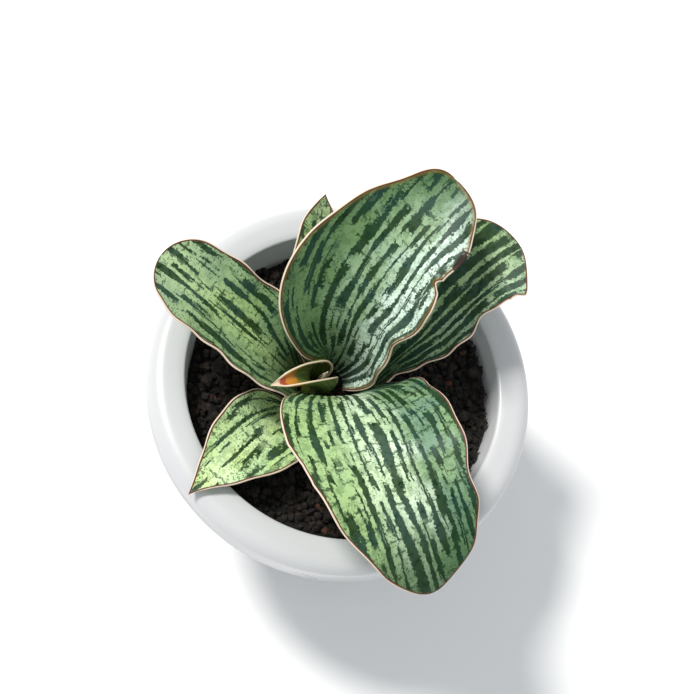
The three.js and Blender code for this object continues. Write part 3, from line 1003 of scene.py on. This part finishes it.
    def _measure_margin(self, rings: np.ndarray, rim: np.ndarray) -> None:
        """Fills in each face point's distance to the margin, in millimetres.

        Args:
            rings: The sheet's points, ring by ring.
            rim: The distances, where NaN stands for one to fill in.
        """
        outline = np.concatenate([rings[:, 0], rings[::-1, self.columns]])
        unknown = np.isnan(rim)
        points = rings[unknown]
        nearest = np.empty(len(points))
        block = 2000
        for start in range(0, len(points), block):
            part = points[start : start + block, None, :] - outline[None]
            nearest[start : start + block] = np.sqrt((part**2).sum(-1)).min(1)
        rim[unknown] = nearest

    def _paint(self, piece: bpy.types.Object, blade: np.ndarray, rim: np.ndarray) -> None:
        """Stores the pattern attributes and the UV map on the mesh.

        Args:
            piece: The leaf.
            blade: Each point's lane, way along and way to the side.
            rim: Each point's distance to the margin.
        """
        mesh = piece.data
        stored = mesh.attributes.new("blade", "FLOAT_VECTOR", "POINT")
        stored.data.foreach_set("vector", blade.astype(np.float32).ravel())
        stored = mesh.attributes.new("margin", "FLOAT", "POINT")
        stored.data.foreach_set("value", rim.astype(np.float32))
        corners = np.empty(len(mesh.loops), np.int32)
        mesh.loops.foreach_get("vertex_index", corners)
        uv = np.stack([0.5 + blade[:, 0] / 2, blade[:, 1] / self.length], -1)
        layer = mesh.uv_layers.new(name="blade_uv")
        layer.data.foreach_set("uv", uv[corners].astype(np.float32).ravel())


@dataclass
class Rosette:
    """All leaves, from the oldest outside to the spear in the middle."""

    crown: tuple[float, float] = (-7.0, -1.0)
    base_drop: float = 20.0
    leaf_slot: str = "leaf"
    young_slot: str = "young_leaf"
    thick: tuple[float, ...] = (3.2, 3.0, 2.8, 2.6, 2.2, 1.6)
    thin: tuple[float, ...] = (3.0, 2.8, 2.6, 2.4, 2.0, 1.5)
    pieces: list[bpy.types.Object] = field(default_factory=list)

    def place(self) -> np.ndarray:
        """The crown's place in millimetres: its height hangs from the pot's crest."""
        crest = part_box("pot")[1].z / MM
        return np.array([self.crown[0], self.crown[1], crest - self.base_drop])

    def add(self, blade: Blade, material: bpy.types.Material, slot: str) -> None:
        """Builds one leaf, dresses it and hands it over.

        Args:
            blade: The leaf's form.
            material: Its finish.
            slot: The name of its material slot, which is passed on to be logged.
        """
        leaf = blade.build(self.place())
        leaf.name = f"{blade.name}_blade"
        leaf.data.materials.append(material)
        hand_over(leaf, slot, blade.name)
        self.pieces.append(leaf)

    def build(self) -> None:
        """Builds every leaf."""
        for blade, skin in self.grown_leaves():
            self.add(blade, skin.material(blade.name, blade.length), self.leaf_slot)
        rolled = self.young_rolled()
        self.add(rolled, YoungSkin().material(rolled.name, rolled.length), self.young_slot)
        spear = self.spear()
        self.add(spear, DryHusk().material(spear.name), self.young_slot)

    def grown_leaves(self) -> list[tuple[Blade, LeafSkin]]:
        """The six grown leaves, each with its skin.

        Returns:
            Each leaf's form and its skin.
        """
        back = Blade(
            name="leaf_back", base=(2.5, 11.2), heading=60, sweep=(30, 28, 15, -4, -15, -18),
            rise=(88, 83, 62, 42, 26, 8), length=119.5,
            left=(3.5, 3.5, 8.5, 22, 31, 34.5, 30, 25, 19, 12.5, 7),
            right=(8, 17.5, 22.5, 23, 23.5, 29, 31.5, 27, 27.5, 22.5, 12),
            curl=(125, 90, 64, 46, 34, 24), thickness=self.thick,
            tip_sharpness=60, tip_roundness=0.5,
            ruffles=(Ruffle(Side.LEFT, 5.5, 0.35, 0.1, 0.5), Ruffle(Side.RIGHT, 6.0, 0.4, 0.4, 0.8)),
            notches=(Notch(Side.RIGHT, 0.7, 0.022, 2.4),),
        )
        # Painted sheen on the pale right half, painted shade on the dark left half.
        back_skin = LeafSkin(
            seed=1.0, stripes=13, ground=(0.30, 0.44, 0.27), ground_left_painted_shading=(0.13, 0.235, 0.10),
            ground_right_painted_shading=(0.70, 0.86, 0.74), blush_width=2.2, warm_share=0.1, tip_start=0.76,
            tip_shade=0.75, base_shade=0.0, scar_place=97.0,
        )
        left = Blade(
            name="leaf_left", base=(-9.5, 3), heading=152, sweep=(22, 15, 0, -4, -4, -4),
            rise=(85, 58, 37, 29, 24, 16), length=98,
            left=(5, 9, 13.5, 15, 17, 18, 17.5, 18, 18.5, 18, 17),
            right=(5, 7, 8, 12, 16, 20.5, 19.5, 19, 18, 17, 16), curl=(60, 54, 45, 38, 30, 20),
            thickness=self.thin, tip_sharpness=14, tip_roundness=0.5,
            ruffles=(Ruffle(Side.LEFT, 6.5, 0.35, 0.0, 0.4), Ruffle(Side.RIGHT, 5.5, 0.4, 0.3, 0.5)),
        )
        left_skin = LeafSkin(
            seed=14.0, stripes=9, stripe_share=0.18, stripe_gaps=0.45, ground=(0.42, 0.58, 0.25),
            ground_left_painted_shading=(0.27, 0.40, 0.20), ground_right_painted_shading=(0.24, 0.38, 0.19), warm_share=0.35,
            tip_start=0.62, tip_shade=0.6, tip_shade_colour=(0.44, 0.58, 0.36), base_shade=0.55,
        )
        right = Blade(
            name="leaf_right", base=(16.5, 1.5), heading=39, sweep=(0, 1, 2, 2, 0, -10),
            rise=(75, 56, 46, 36, 27, 14), length=99,
            left=(4, 5, 9, 16, 22, 23, 24, 25, 25, 22.5, 18),
            right=(5, 5, 5, 8, 12, 15, 15.5, 13, 14.8, 18.5, 12), curl=(60, 45, 35, 26, 18, 10),
            thickness=self.thin, tip_sharpness=20, tip_roundness=0.6,
            ruffles=(Ruffle(Side.LEFT, 5, 0.35, 0.2, 0.5), Ruffle(Side.RIGHT, 7, 0.45, 0.1, 0.8)),
            notches=(Notch(Side.RIGHT, 0.86, 0.03, 1.5),),
        )
        # The strong base shade here paints leaf_back's shadow over the lower blade.
        right_skin = LeafSkin(
            seed=27.0, stripes=9, stripe_share=0.24, stripe_gaps=0.38, ground=(0.38, 0.53, 0.29),
            ground_left_painted_shading=(0.32, 0.46, 0.23), ground_right_painted_shading=(0.38, 0.52, 0.33), warm_share=0.2,
            tip_shade=0.1, base_shade=0.75,
        )
        small = Blade(
            name="leaf_small_back", base=(-0.5, 15), heading=96, sweep=(20, 14, 4, -2, -7, -9),
            rise=(85, 66, 44, 34, 25, 20), length=81,
            left=(4, 7, 11, 13, 14, 14, 14, 13.5, 13, 14, 12),
            right=(4, 7, 11, 13, 14, 14, 14, 13, 12, 9, 6), curl=(60, 46, 35, 28, 20, 10),
            thickness=(2.6, 2.4, 2.2, 2.0, 1.7, 1.3), tip_sharpness=6, tip_roundness=1,
            ruffles=(Ruffle(Side.LEFT, 5, 0.2, 0.2, 0.2), Ruffle(Side.RIGHT, 5, 0.2, 0.6, 0.2)),
        )
        small_skin = LeafSkin(
            seed=39.0, stripes=7, stripe_share=0.14, stripe_gaps=0.5, ground=(0.40, 0.50, 0.26),
            ground_left_painted_shading=(0.34, 0.44, 0.24), ground_right_painted_shading=(0.38, 0.46, 0.24),
        )
        lower = Blade(
            name="leaf_lower_left", base=(-11, -8), heading=220, sweep=(-4, 0, 2, 3, 0, -2),
            rise=(64, 40, 28, 12, -6, -18), length=71,
            left=(4, 7, 12, 17, 19, 18.8, 16.5, 13.5, 10.5, 7, 4),
            right=(4, 7, 12, 16.5, 18, 18, 17.4, 15.8, 13, 10, 8), curl=(60, 46, 35, 28, 20, 10),
            thickness=self.thin, tip_sharpness=5, tip_roundness=1,
            ruffles=(Ruffle(Side.LEFT, 5, 0.25, 0.5, 0.3), Ruffle(Side.RIGHT, 5, 0.25, 0.0, 0.3)),
        )
        lower_skin = LeafSkin(
            seed=51.0, stripes=8, stripe_share=0.17, stripe_gaps=0.46, ground=(0.66, 0.84, 0.44),
            ground_left_painted_shading=(0.46, 0.66, 0.36), ground_right_painted_shading=(0.58, 0.78, 0.40),
            ground_warm=(0.56, 0.74, 0.26), warm_share=0.6, tip_shade=0.15, base_shade=0.1,
        )
        front = Blade(
            name="leaf_front", base=(5, -4.2), heading=-74, sweep=(-8, -8, -4, 2, 8, 12),
            rise=(88, 76, 42, 11, -24, -44), length=138.5,
            left=(6, 12, 22, 27, 28, 29.5, 29, 25.5, 24.5, 19.5, 8.5),
            right=(7, 12, 20, 28, 34.5, 38.5, 35.5, 31.5, 25.5, 17.5, 9.5),
            curl=(60, 20, 22, 24, 20, 12), thickness=self.thick, tip_sharpness=30,
            tip_roundness=0.6,
            ruffles=(Ruffle(Side.LEFT, 6.5, 0.4, 0.2, 0.6), Ruffle(Side.RIGHT, 6, 0.45, 0.0, 0.7)),
            notches=(Notch(Side.RIGHT, 0.565, 0.05, 1.6),),
        )
        # Painted highlight in the whitish middle, painted shade toward both sides, darkest on the
        # left.
        front_skin = LeafSkin(
            seed=63.0, stripes=15, rung_share=0.42, ground=(0.70, 0.86, 0.62),
            ground_left_painted_shading=(0.17, 0.29, 0.19), ground_right_painted_shading=(0.40, 0.58, 0.27), warm_share=0.3,
            tip_start=0.66, tip_shade=0.85, base_shade=0.15,
        )
        return [
            (back, back_skin), (left, left_skin), (right, right_skin),
            (small, small_skin), (lower, lower_skin), (front, front_skin),
        ]

    def young_rolled(self) -> Blade:
        """The youngest leaf, rolled to a funnel with a spout.

        Returns:
            The leaf's form.
        """
        return Blade(
            name="leaf_young_rolled", base=(-7, 0.5), heading=201, sweep=(0,) * 6,
            rise=(88, 88, 86, 50, 20, 8), length=48,
            left=(10, 10.5, 10.5, 12.8, 14.8, 13.4, 9.8, 7.2, 5, 3.2, 1.5),
            right=(10, 10.5, 10.5, 12.8, 14.8, 13, 9, 6.6, 4.5, 2.8, 1.5),
            curl=(168, 168, 158, 122, 92, 50), thickness=(1.4, 1.4, 1.3, 1.2, 1.1, 1.0),
            tip_sharpness=12, tip_roundness=1, stations=120,
        )

    def spear(self) -> Blade:
        """The spear of the next leaf, inside the funnel.

        Returns:
            The leaf's form.
        """
        return Blade(
            name="leaf_spear", base=(-2.4, 1.3), heading=10, sweep=(0,) * 6,
            rise=(90,) * 6, length=30,
            left=(2.3, 2.3, 2.3, 2.3, 2.3, 2.3, 2.3, 2.2, 2, 1.5, 0.8),
            right=(2.3, 2.3, 2.3, 2.3, 2.3, 2.3, 2.3, 2.2, 2, 1.5, 0.8),
            curl=(150,) * 6, thickness=(0.9,) * 6,
            tip_sharpness=12, tip_roundness=1, stations=80, columns=32,
        )


# Pot


@dataclass
class Pot:
    """The round pot with its hollow rolled rim and its ring of drain holes, in millimetres."""

    height: float = 104.0
    outer_radius: float = 80.0
    rim_width: float = 14.3
    crest_inset: float = 6.5
    shoulder_drop: float = 5.0
    lip_drop: float = 1.0
    skirt: float = 16.0
    wall: float = 3.0
    floor: float = 3.5
    foot_radius: float = 52.0
    foot_chamfer: float = 1.5
    hole_count: int = 6
    hole_radius: float = 4.5
    hole_ring: float = 32.0
    hole_segments: int = 32
    segments: int = 160
    roll_steps: int = 14
    sharp_angle: float = 40.0

    def inner_radius(self, z: float) -> float:
        """The inner wall's radius at a height.

        Args:
            z: The height, in millimetres.

        Returns:
            The radius, in millimetres.
        """
        share = (z - self.floor) / (self.height - self.lip_drop - self.floor)
        foot = self.foot_radius - self.wall
        return foot + share * (self.outer_radius - self.rim_width - foot)

    def _arc(
        self, radius_x: float, radius_z: float, start: float, stop: float
    ) -> list[tuple[float, float]]:
        """Points of the roll's quarter arc, both ends included.

        Args:
            radius_x: The arc's half-width.
            radius_z: Its height.
            start: Where it starts, in degrees.
            stop: Where it ends.

        Returns:
            The points as radius and height.
        """
        centre = self.outer_radius - self.crest_inset
        shoulder = self.height - self.shoulder_drop
        angles = np.radians(np.linspace(start, stop, self.roll_steps + 1))
        return [(centre + radius_x * math.cos(a), shoulder + radius_z * math.sin(a)) for a in angles]

    def profile(self) -> list[tuple[float, float]]:
        """The wall's outline as radius and height, from the underside round to the floor.

        Returns:
            The outline's points.
        """
        shoulder = self.height - self.shoulder_drop
        skirt_bottom = self.height - self.skirt
        under = self.height - self.wall
        wall_top = self.inner_radius(under) + self.wall
        lip = self.outer_radius - self.rim_width
        lip_height = self.height - self.lip_drop
        return [
            (0, 0),
            (self.foot_radius - self.foot_chamfer, 0),
            (self.foot_radius, self.foot_chamfer),
            (wall_top, under - self.wall),
            (wall_top + self.wall / 2, under),
            *self._arc(self.crest_inset - self.wall, under - shoulder, 90, 0),
            (self.outer_radius - self.wall, skirt_bottom + 0.6),
            (self.outer_radius - self.wall + 0.6, skirt_bottom),
            (self.outer_radius - 1, skirt_bottom),
            (self.outer_radius - 0.3, skirt_bottom + 0.3),
            (self.outer_radius, skirt_bottom + 1),
            *self._arc(self.crest_inset, self.shoulder_drop, 0, 90),
            (lip + 3.5, self.height - 0.12),
            (lip + 1, self.height - self.lip_drop / 2),
            (lip + 0.3, lip_height + 0.12),
            (lip, lip_height - 0.5),
            (self.inner_radius(self.floor + 2), self.floor + 2),
            (self.foot_radius - self.wall - 0.6, self.floor + 0.6),
            (self.foot_radius - self.wall - 2, self.floor),
            (0, self.floor),
        ]

    def build(self) -> None:
        """Turns the wall, bores the drain holes and hands the pot over."""
        body = self._turned("pot_body")
        cutter = self._hole_cutter()
        cut = body.modifiers.new("drain_holes", "BOOLEAN")
        cut.operation = "DIFFERENCE"
        cut.solver = "EXACT"
        cut.object = cutter
        pot = evaluated_copy(body, "pot_shell")
        bpy.data.objects.remove(cutter)
        pot.data.shade_smooth()
        pot.data.set_sharp_from_angle(angle=math.radians(self.sharp_angle))
        pot.data.materials.clear()
        pot.data.materials.append(PotPlastic().material())
        hand_over(pot, "pot", "pot")

    def _turned(self, name: str) -> bpy.types.Object:
        """The wall's outline turned about Z, closed at both poles.

        Args:
            name: The object's name.

        Returns:
            The turned wall.
        """
        outline = self.profile()
        points = [(0.0, 0.0, outline[0][1] * MM), (0.0, 0.0, outline[-1][1] * MM)]
        turned = outline[1:-1]
        for k in range(self.segments):
            angle = 2 * math.pi * k / self.segments
            for radius, z in turned:
                points.append((radius * math.cos(angle) * MM, radius * math.sin(angle) * MM, z * MM))
        count = len(turned)
        faces = []
        for k in range(self.segments):
            a = 2 + k * count
            b = 2 + (k + 1) % self.segments * count
            for i in range(count - 1):
                faces.append((a + i, b + i, b + i + 1, a + i + 1))
            faces.append((0, b, a))
            faces.append((1, a + count - 1, b + count - 1))
        return mesh_object(name, np.array(points), faces)

    def _hole_cutter(self) -> bpy.types.Object:
        """Six cylinders that bore the drain holes.

        Returns:
            The cutter.
        """
        shape = bmesh.new()
        for k in range(self.hole_count):
            angle = 2 * math.pi * k / self.hole_count
            place = Vector((math.cos(angle), math.sin(angle), 0)) * self.hole_ring * MM
            bmesh.ops.create_cone(
                shape,
                cap_ends=True,
                segments=self.hole_segments,
                radius1=self.hole_radius * MM,
                radius2=self.hole_radius * MM,
                depth=4 * self.floor * MM,
                matrix=Matrix.Translation(place),
            )
        return object_from("hole_cutter", shape)


# Bed of granules


@dataclass
class GranuleBed:
    """The bed of lava: a core that fills the pot, and the granules that lie on it."""

    pot: Pot
    bed_drop: float = 12.5
    slope_x: float = 0.054
    slope_y: float = -0.032
    wall_gap: float = 0.3
    rings: int = 60
    segments: int = 160
    granule_gap: float = 2.15
    granule_small: float = 0.75
    granule_large: float = 1.25
    granule_radius: float = 1.75
    granule_density: float = 400000.0
    granule_heave: tuple[float, float] = (-1.1, 0.8)
    granule_lumps: float = 520.0
    granule_lump_depth: float = 3.4
    leaf_gap: float = 1.9
    core_drop: float = 0.9
    core_lumps: tuple[float, float] = (-0.8, 0.5)
    core_shoulder: float = 6.0
    core_edge_gap: float = 0.3
    stone_pits: tuple[float, float] = (-0.16, 0.1)
    seed: int = 7

    def height(self, x: np.ndarray, y: np.ndarray) -> np.ndarray:
        """The bed's height in millimetres at a place."""
        return self.pot.height - self.bed_drop + self.slope_x * x + self.slope_y * y

    def build(self, leaves: list[bpy.types.Object]) -> None:
        """Builds the core, the granules and the loose stones.

        Args:
            leaves: The finished leaves, which the granules keep clear of.
        """
        lava = Lava().material()
        core = self._core()
        core.data.materials.append(lava)
        hand_over(core, "growing_medium", "growing_medium")
        granules = self._granules(leaves, lava)
        hand_over(granules, "growing_medium", "growing_medium")
        self._stones(Lava(name="loose_lava").material())

    def _core(self) -> bpy.types.Object:
        """The solid body of the bed, with a bumpy top.

        Returns:
            The core.
        """
        bottom = self.pot.floor + self.wall_gap
        shoulder = self.pot.height - self.bed_drop - self.core_shoulder
        side_heights = np.linspace(bottom, shoulder, 6)
        outline = [(self.pot.inner_radius(z) - self.wall_gap, z) for z in side_heights]
        edge = self.pot.inner_radius(shoulder) - self.wall_gap - self.core_edge_gap
        rng = np.random.default_rng(self.seed)
        points = [(0.0, 0.0, bottom)]
        angles = 2 * np.pi * np.arange(self.segments) / self.segments
        for radius, z in outline:
            points.extend((radius * math.cos(a), radius * math.sin(a), z) for a in angles)
        for radius in np.linspace(edge, edge / self.rings, self.rings):
            lumps = rng.uniform(*self.core_lumps, self.segments)
            x, y = radius * np.cos(angles), radius * np.sin(angles)
            z = self.height(x, y) - self.core_drop + lumps
            points.extend(zip(x, y, z))
        points.append((0.0, 0.0, float(self.height(0.0, 0.0)) - self.core_drop))
        loops = len(outline) + self.rings
        faces = []
        for i in range(self.segments):
            j = (i + 1) % self.segments
            faces.append((0, 1 + j, 1 + i))
            for k in range(loops - 1):
                a, b = 1 + k * self.segments, 1 + (k + 1) * self.segments
                faces.append((a + i, a + j, b + j, b + i))
            last = 1 + (loops - 1) * self.segments
            faces.append((last + i, last + j, len(points) - 1))
        return mesh_object("bed_core", np.array(points) * MM, faces)

    def _ground(self) -> bpy.types.Object:
        """The tilted disc that the granules are strewn on.

        Returns:
            The disc.
        """
        edge = self.pot.inner_radius(self.pot.height - self.bed_drop) - self.granule_radius
        shape = bmesh.new()
        bmesh.ops.create_circle(shape, cap_ends=True, cap_tris=True, segments=96, radius=edge)
        for vertex in shape.verts:
            x, y = vertex.co.x, vertex.co.y
            vertex.co = Vector((x, y, self.height(x, y))) * MM
        bmesh.ops.recalc_face_normals(shape, faces=shape.faces)
        return object_from("bed_ground", shape)

    def _granules(
        self, leaves: list[bpy.types.Object], lava: bpy.types.Material
    ) -> bpy.types.Object:
        """Strews the granules over the bed and makes them one plain mesh.

        Args:
            leaves: The leaves to keep clear of.
            lava: The granules' finish.

        Returns:
            The granules' object.
        """
        guard = self._joined(leaves)
        ground = self._ground()
        tree = self._granule_tree()
        modifier = ground.modifiers.new("granules", "NODES")
        modifier.node_group = tree
        values = {
            "Gap": self.granule_gap * MM,
            "Radius": self.granule_radius * MM,
            "Smallest": self.granule_small,
            "Largest": self.granule_large,
            "Leaf Gap": self.leaf_gap * MM,
            "Seed": self.seed,
            "Leaves": guard,
            "Material": lava,
        }
        for item in tree.interface.items_tree:
            if item.name in values and item.in_out == "INPUT":
                modifier[item.identifier] = values[item.name]
        granules = evaluated_copy(ground, "lava_granules")
        bpy.data.objects.remove(guard)
        granules.data.shade_flat()
        return granules

    def _joined(self, pieces: list[bpy.types.Object]) -> bpy.types.Object:
        """A scratch copy of several pieces as one mesh.

        Args:
            pieces: The objects to copy.

        Returns:
            The joined copy.
        """
        shape = bmesh.new()
        for piece in pieces:
            shape.from_mesh(piece.data)
        return object_from("leaf_guard", shape)

    def _granule_tree(self) -> bpy.types.NodeTree:
        """The node tree that strews, shapes and tints the granules.

        Returns:
            The tree, with named inputs for its sizes.
        """
        tree = bpy.data.node_groups.new("strewn_granules", "GeometryNodeTree")
        sizes = dict.fromkeys(("Gap", "Radius", "Smallest", "Largest", "Leaf Gap"), "Float")
        others = {"Seed": "Int", "Leaves": "Object", "Material": "Material"}
        for name, kind in ({"Geometry": "Geometry"} | sizes | others).items():
            kind = f"NodeSocket{kind}"
            tree.interface.new_socket(name=name, in_out="INPUT", socket_type=kind)
        tree.interface.new_socket(name="Geometry", in_out="OUTPUT", socket_type="NodeSocketGeometry")
        g = Graph(tree)
        given = g.add("NodeGroupInput").outputs
        strewn = g.add(
            "GeometryNodeDistributePointsOnFaces",
            {
                "Mesh": given["Geometry"],
                "Distance Min": given["Gap"],
                "Density Max": self.granule_density,
                "Seed": given["Seed"],
            },
            distribute_method="POISSON",
        )
        leaves = g.add("GeometryNodeObjectInfo", {"Object": given["Leaves"]})
        near = g.add("GeometryNodeProximity", {0: leaves.outputs["Geometry"]}, target_element="FACES")
        clear = g.math("GREATER_THAN", near.outputs["Distance"], given["Leaf Gap"])
        heave = self._random(g, *(limit * MM for limit in self.granule_heave), 3)
        lifted = g.add(
            "GeometryNodeSetPosition",
            {"Geometry": strewn.outputs["Points"], "Offset": g.combine(0.0, 0.0, heave)},
        )
        lump = g.add("GeometryNodeMeshIcoSphere", {"Radius": given["Radius"], "Subdivisions": 2})
        turn = g.combine(*(self._random(g, 0, 6.28, draw) for draw in (11, 12, 13)))
        limits = {0: self._random(g, 0, 1, 21), 3: given["Smallest"], 4: given["Largest"]}
        size = g.add("ShaderNodeMapRange", limits).outputs[0]
        spreads = ((0.85, 1.15, 22), (0.75, 1.1, 23), (0.7, 1.0, 24))
        stretch = g.combine(*(g.times(size, self._random(g, *each)) for each in spreads))
        placed = g.add(
            "GeometryNodeInstanceOnPoints",
            {
                "Points": lifted.outputs[0],
                "Selection": clear,
                "Instance": lump.outputs["Mesh"],
                "Rotation": turn,
                "Scale": stretch,
            },
        )
        tinted = g.add(
            "GeometryNodeStoreNamedAttribute",
            {"Geometry": placed.outputs[0], "Name": "tint", "Value": self._random(g, 0, 1, 31)},
            data_type="FLOAT",
            domain="INSTANCE",
        )
        real = g.add("GeometryNodeRealizeInstances", {"Geometry": tinted.outputs[0]})
        spot = g.add("GeometryNodeInputPosition").outputs[0]
        rough = {"Vector": spot, "Scale": self.granule_lumps, "Detail": 1.0}
        lumps = {0: g.add("ShaderNodeTexNoise", rough).outputs["Color"], 1: (0.5, 0.5, 0.5)}
        centred = g.add("ShaderNodeVectorMath", lumps, operation="SUBTRACT").outputs[0]
        depth = {0: centred, "Scale": self.granule_lump_depth * MM}
        shove = g.add("ShaderNodeVectorMath", depth, operation="SCALE").outputs[0]
        moved = {"Geometry": real.outputs[0], "Offset": shove}
        shaped = g.add("GeometryNodeSetPosition", moved)
        finish = {"Geometry": shaped.outputs[0], "Material": given["Material"]}
        dressed = g.add("GeometryNodeSetMaterial", finish)
        g.add("NodeGroupOutput", {0: dressed.outputs[0]})
        return tree

    def _random(self, g: Graph, low: float, high: float, seed: int) -> Socket:
        """A random number for each point or instance, from low to high."""
        limits = {2: low, 3: high, "Seed": seed}
        return g.add("FunctionNodeRandomValue", limits, data_type="FLOAT").outputs[1]

    def _stones(self, lava: bpy.types.Material) -> None:
        """Rounds off and roughens each loose stone of the model.

        Args:
            lava: The stones' finish.
        """
        names = sorted(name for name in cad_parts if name.startswith("lava_stone_"))
        rng = np.random.default_rng(self.seed)
        for name in names:
            shape = bmesh.new()
            shape.from_mesh(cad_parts[name].data)
            bmesh.ops.remove_doubles(shape, verts=shape.verts, dist=1e-6)
            bmesh.ops.subdivide_edges(shape, edges=shape.edges, cuts=2, use_grid_fill=True, smooth=0.6)
            bmesh.ops.triangulate(shape, faces=shape.faces)
            shape.normal_update()
            pits = rng.uniform(*self.stone_pits, len(shape.verts)) * MM
            for vertex, pit in zip(shape.verts, pits):
                vertex.co += vertex.normal * pit
            stone = object_from(f"loose_{name[5:]}", shape)
            mesh = stone.data
            mesh.shade_smooth()
            tint = mesh.attributes.new("tint", "FLOAT", "POINT")
            tint.data.foreach_set("value", np.full(len(mesh.vertices), rng.uniform(), np.float32))
            mesh.materials.append(lava)
            hand_over(stone, "lava_stone", name)


# Studio


@dataclass
class Studio:
    """The pale floor, the soft light and the camera, which looks down past the crown."""

    azimuth: float = -32.0
    elevation: float = 66.6
    roll: float = 32.0
    stand: tuple[float, float, float] = (-0.1366, -0.2057, 0.7054)
    lens: float = 82.2
    floor_size: float = 6.0
    sun_from: tuple[float, float, float] = (-0.56, 0.4, 1.0)
    sun_strength: float = 3.1
    sun_spread: float = 12.0
    sun_colour: Colour = (1.0, 0.985, 0.95)
    sky_strength: float = 0.66
    sky_colour: Colour = (0.93, 0.97, 1.0)
    floor_colour: Colour = (0.9, 0.9, 0.9)

    def build(self) -> None:
        """Sets up the camera, the light and the floor."""
        scene = bpy.context.scene
        scene.view_settings.view_transform = "Standard"
        self._camera(scene)
        self._light(scene)
        self._floor()

    def _camera(self, scene: bpy.types.Scene) -> None:
        """The camera, turned by its azimuth, elevation and roll.

        Args:
            scene: The scene that it looks at.
        """
        azimuth, elevation, roll = (math.radians(a) for a in (self.azimuth, self.elevation, self.roll))
        back = Vector(
            (
                math.sin(azimuth) * math.cos(elevation),
                -math.cos(azimuth) * math.cos(elevation),
                math.sin(elevation),
            )
        )
        level = Vector((math.cos(azimuth), math.sin(azimuth), 0))
        upright = back.cross(level)
        right = level * math.cos(roll) + upright * math.sin(roll)
        up = upright * math.cos(roll) - level * math.sin(roll)
        turn = Matrix((right, up, back)).transposed()
        data = bpy.data.cameras.new("camera")
        data.lens = self.lens
        camera = bpy.data.objects.new("camera", data)
        camera.matrix_world = Matrix.Translation(self.stand) @ turn.to_4x4()
        scene.collection.objects.link(camera)
        scene.camera = camera

    def _light(self, scene: bpy.types.Scene) -> None:
        """A soft key light from the back left and an even sky.

        Args:
            scene: The scene that is lit.
        """
        data = bpy.data.lights.new("key", "SUN")
        data.energy = self.sun_strength
        data.angle = math.radians(self.sun_spread)
        data.color = self.sun_colour
        key = bpy.data.objects.new("key", data)
        key.rotation_euler = Vector(self.sun_from).to_track_quat("Z", "Y").to_euler()
        scene.collection.objects.link(key)
        world = bpy.data.worlds.new("studio")
        world.use_nodes = True
        sky = world.node_tree.nodes["Background"]
        sky.inputs["Color"].default_value = rgba(self.sky_colour)
        sky.inputs["Strength"].default_value = self.sky_strength
        scene.world = world

    def _floor(self) -> None:
        """A plain pale floor under the pot."""
        half = self.floor_size / 2
        corners = [(-half, -half, 0), (half, -half, 0), (half, half, 0), (-half, half, 0)]
        floor = mesh_object("floor", np.array(corners), [(0, 1, 2, 3)])
        material, g, shader = material_with("pale_floor")
        g.dress(shader, rgba(self.floor_colour), 0.9)
        floor.data.materials.append(material)


def dress_rhizome() -> None:
    """Gives the model's rhizome its skin."""
    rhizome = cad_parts["rhizome_and_roots"]
    rhizome.data.materials.clear()
    rhizome.data.materials.append(RhizomeSkin().material())


def main() -> None:
    """Builds the studio, the pot, the plant and the bed, in that order."""
    logging.basicConfig(level=logging.INFO, format="%(name)s: %(message)s")
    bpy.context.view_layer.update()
    Studio().build()
    pot = Pot()
    pot.build()
    rosette = Rosette()
    rosette.build()
    dress_rhizome()
    GranuleBed(pot).build(rosette.pieces)


if __name__ == "__main__":
    main()
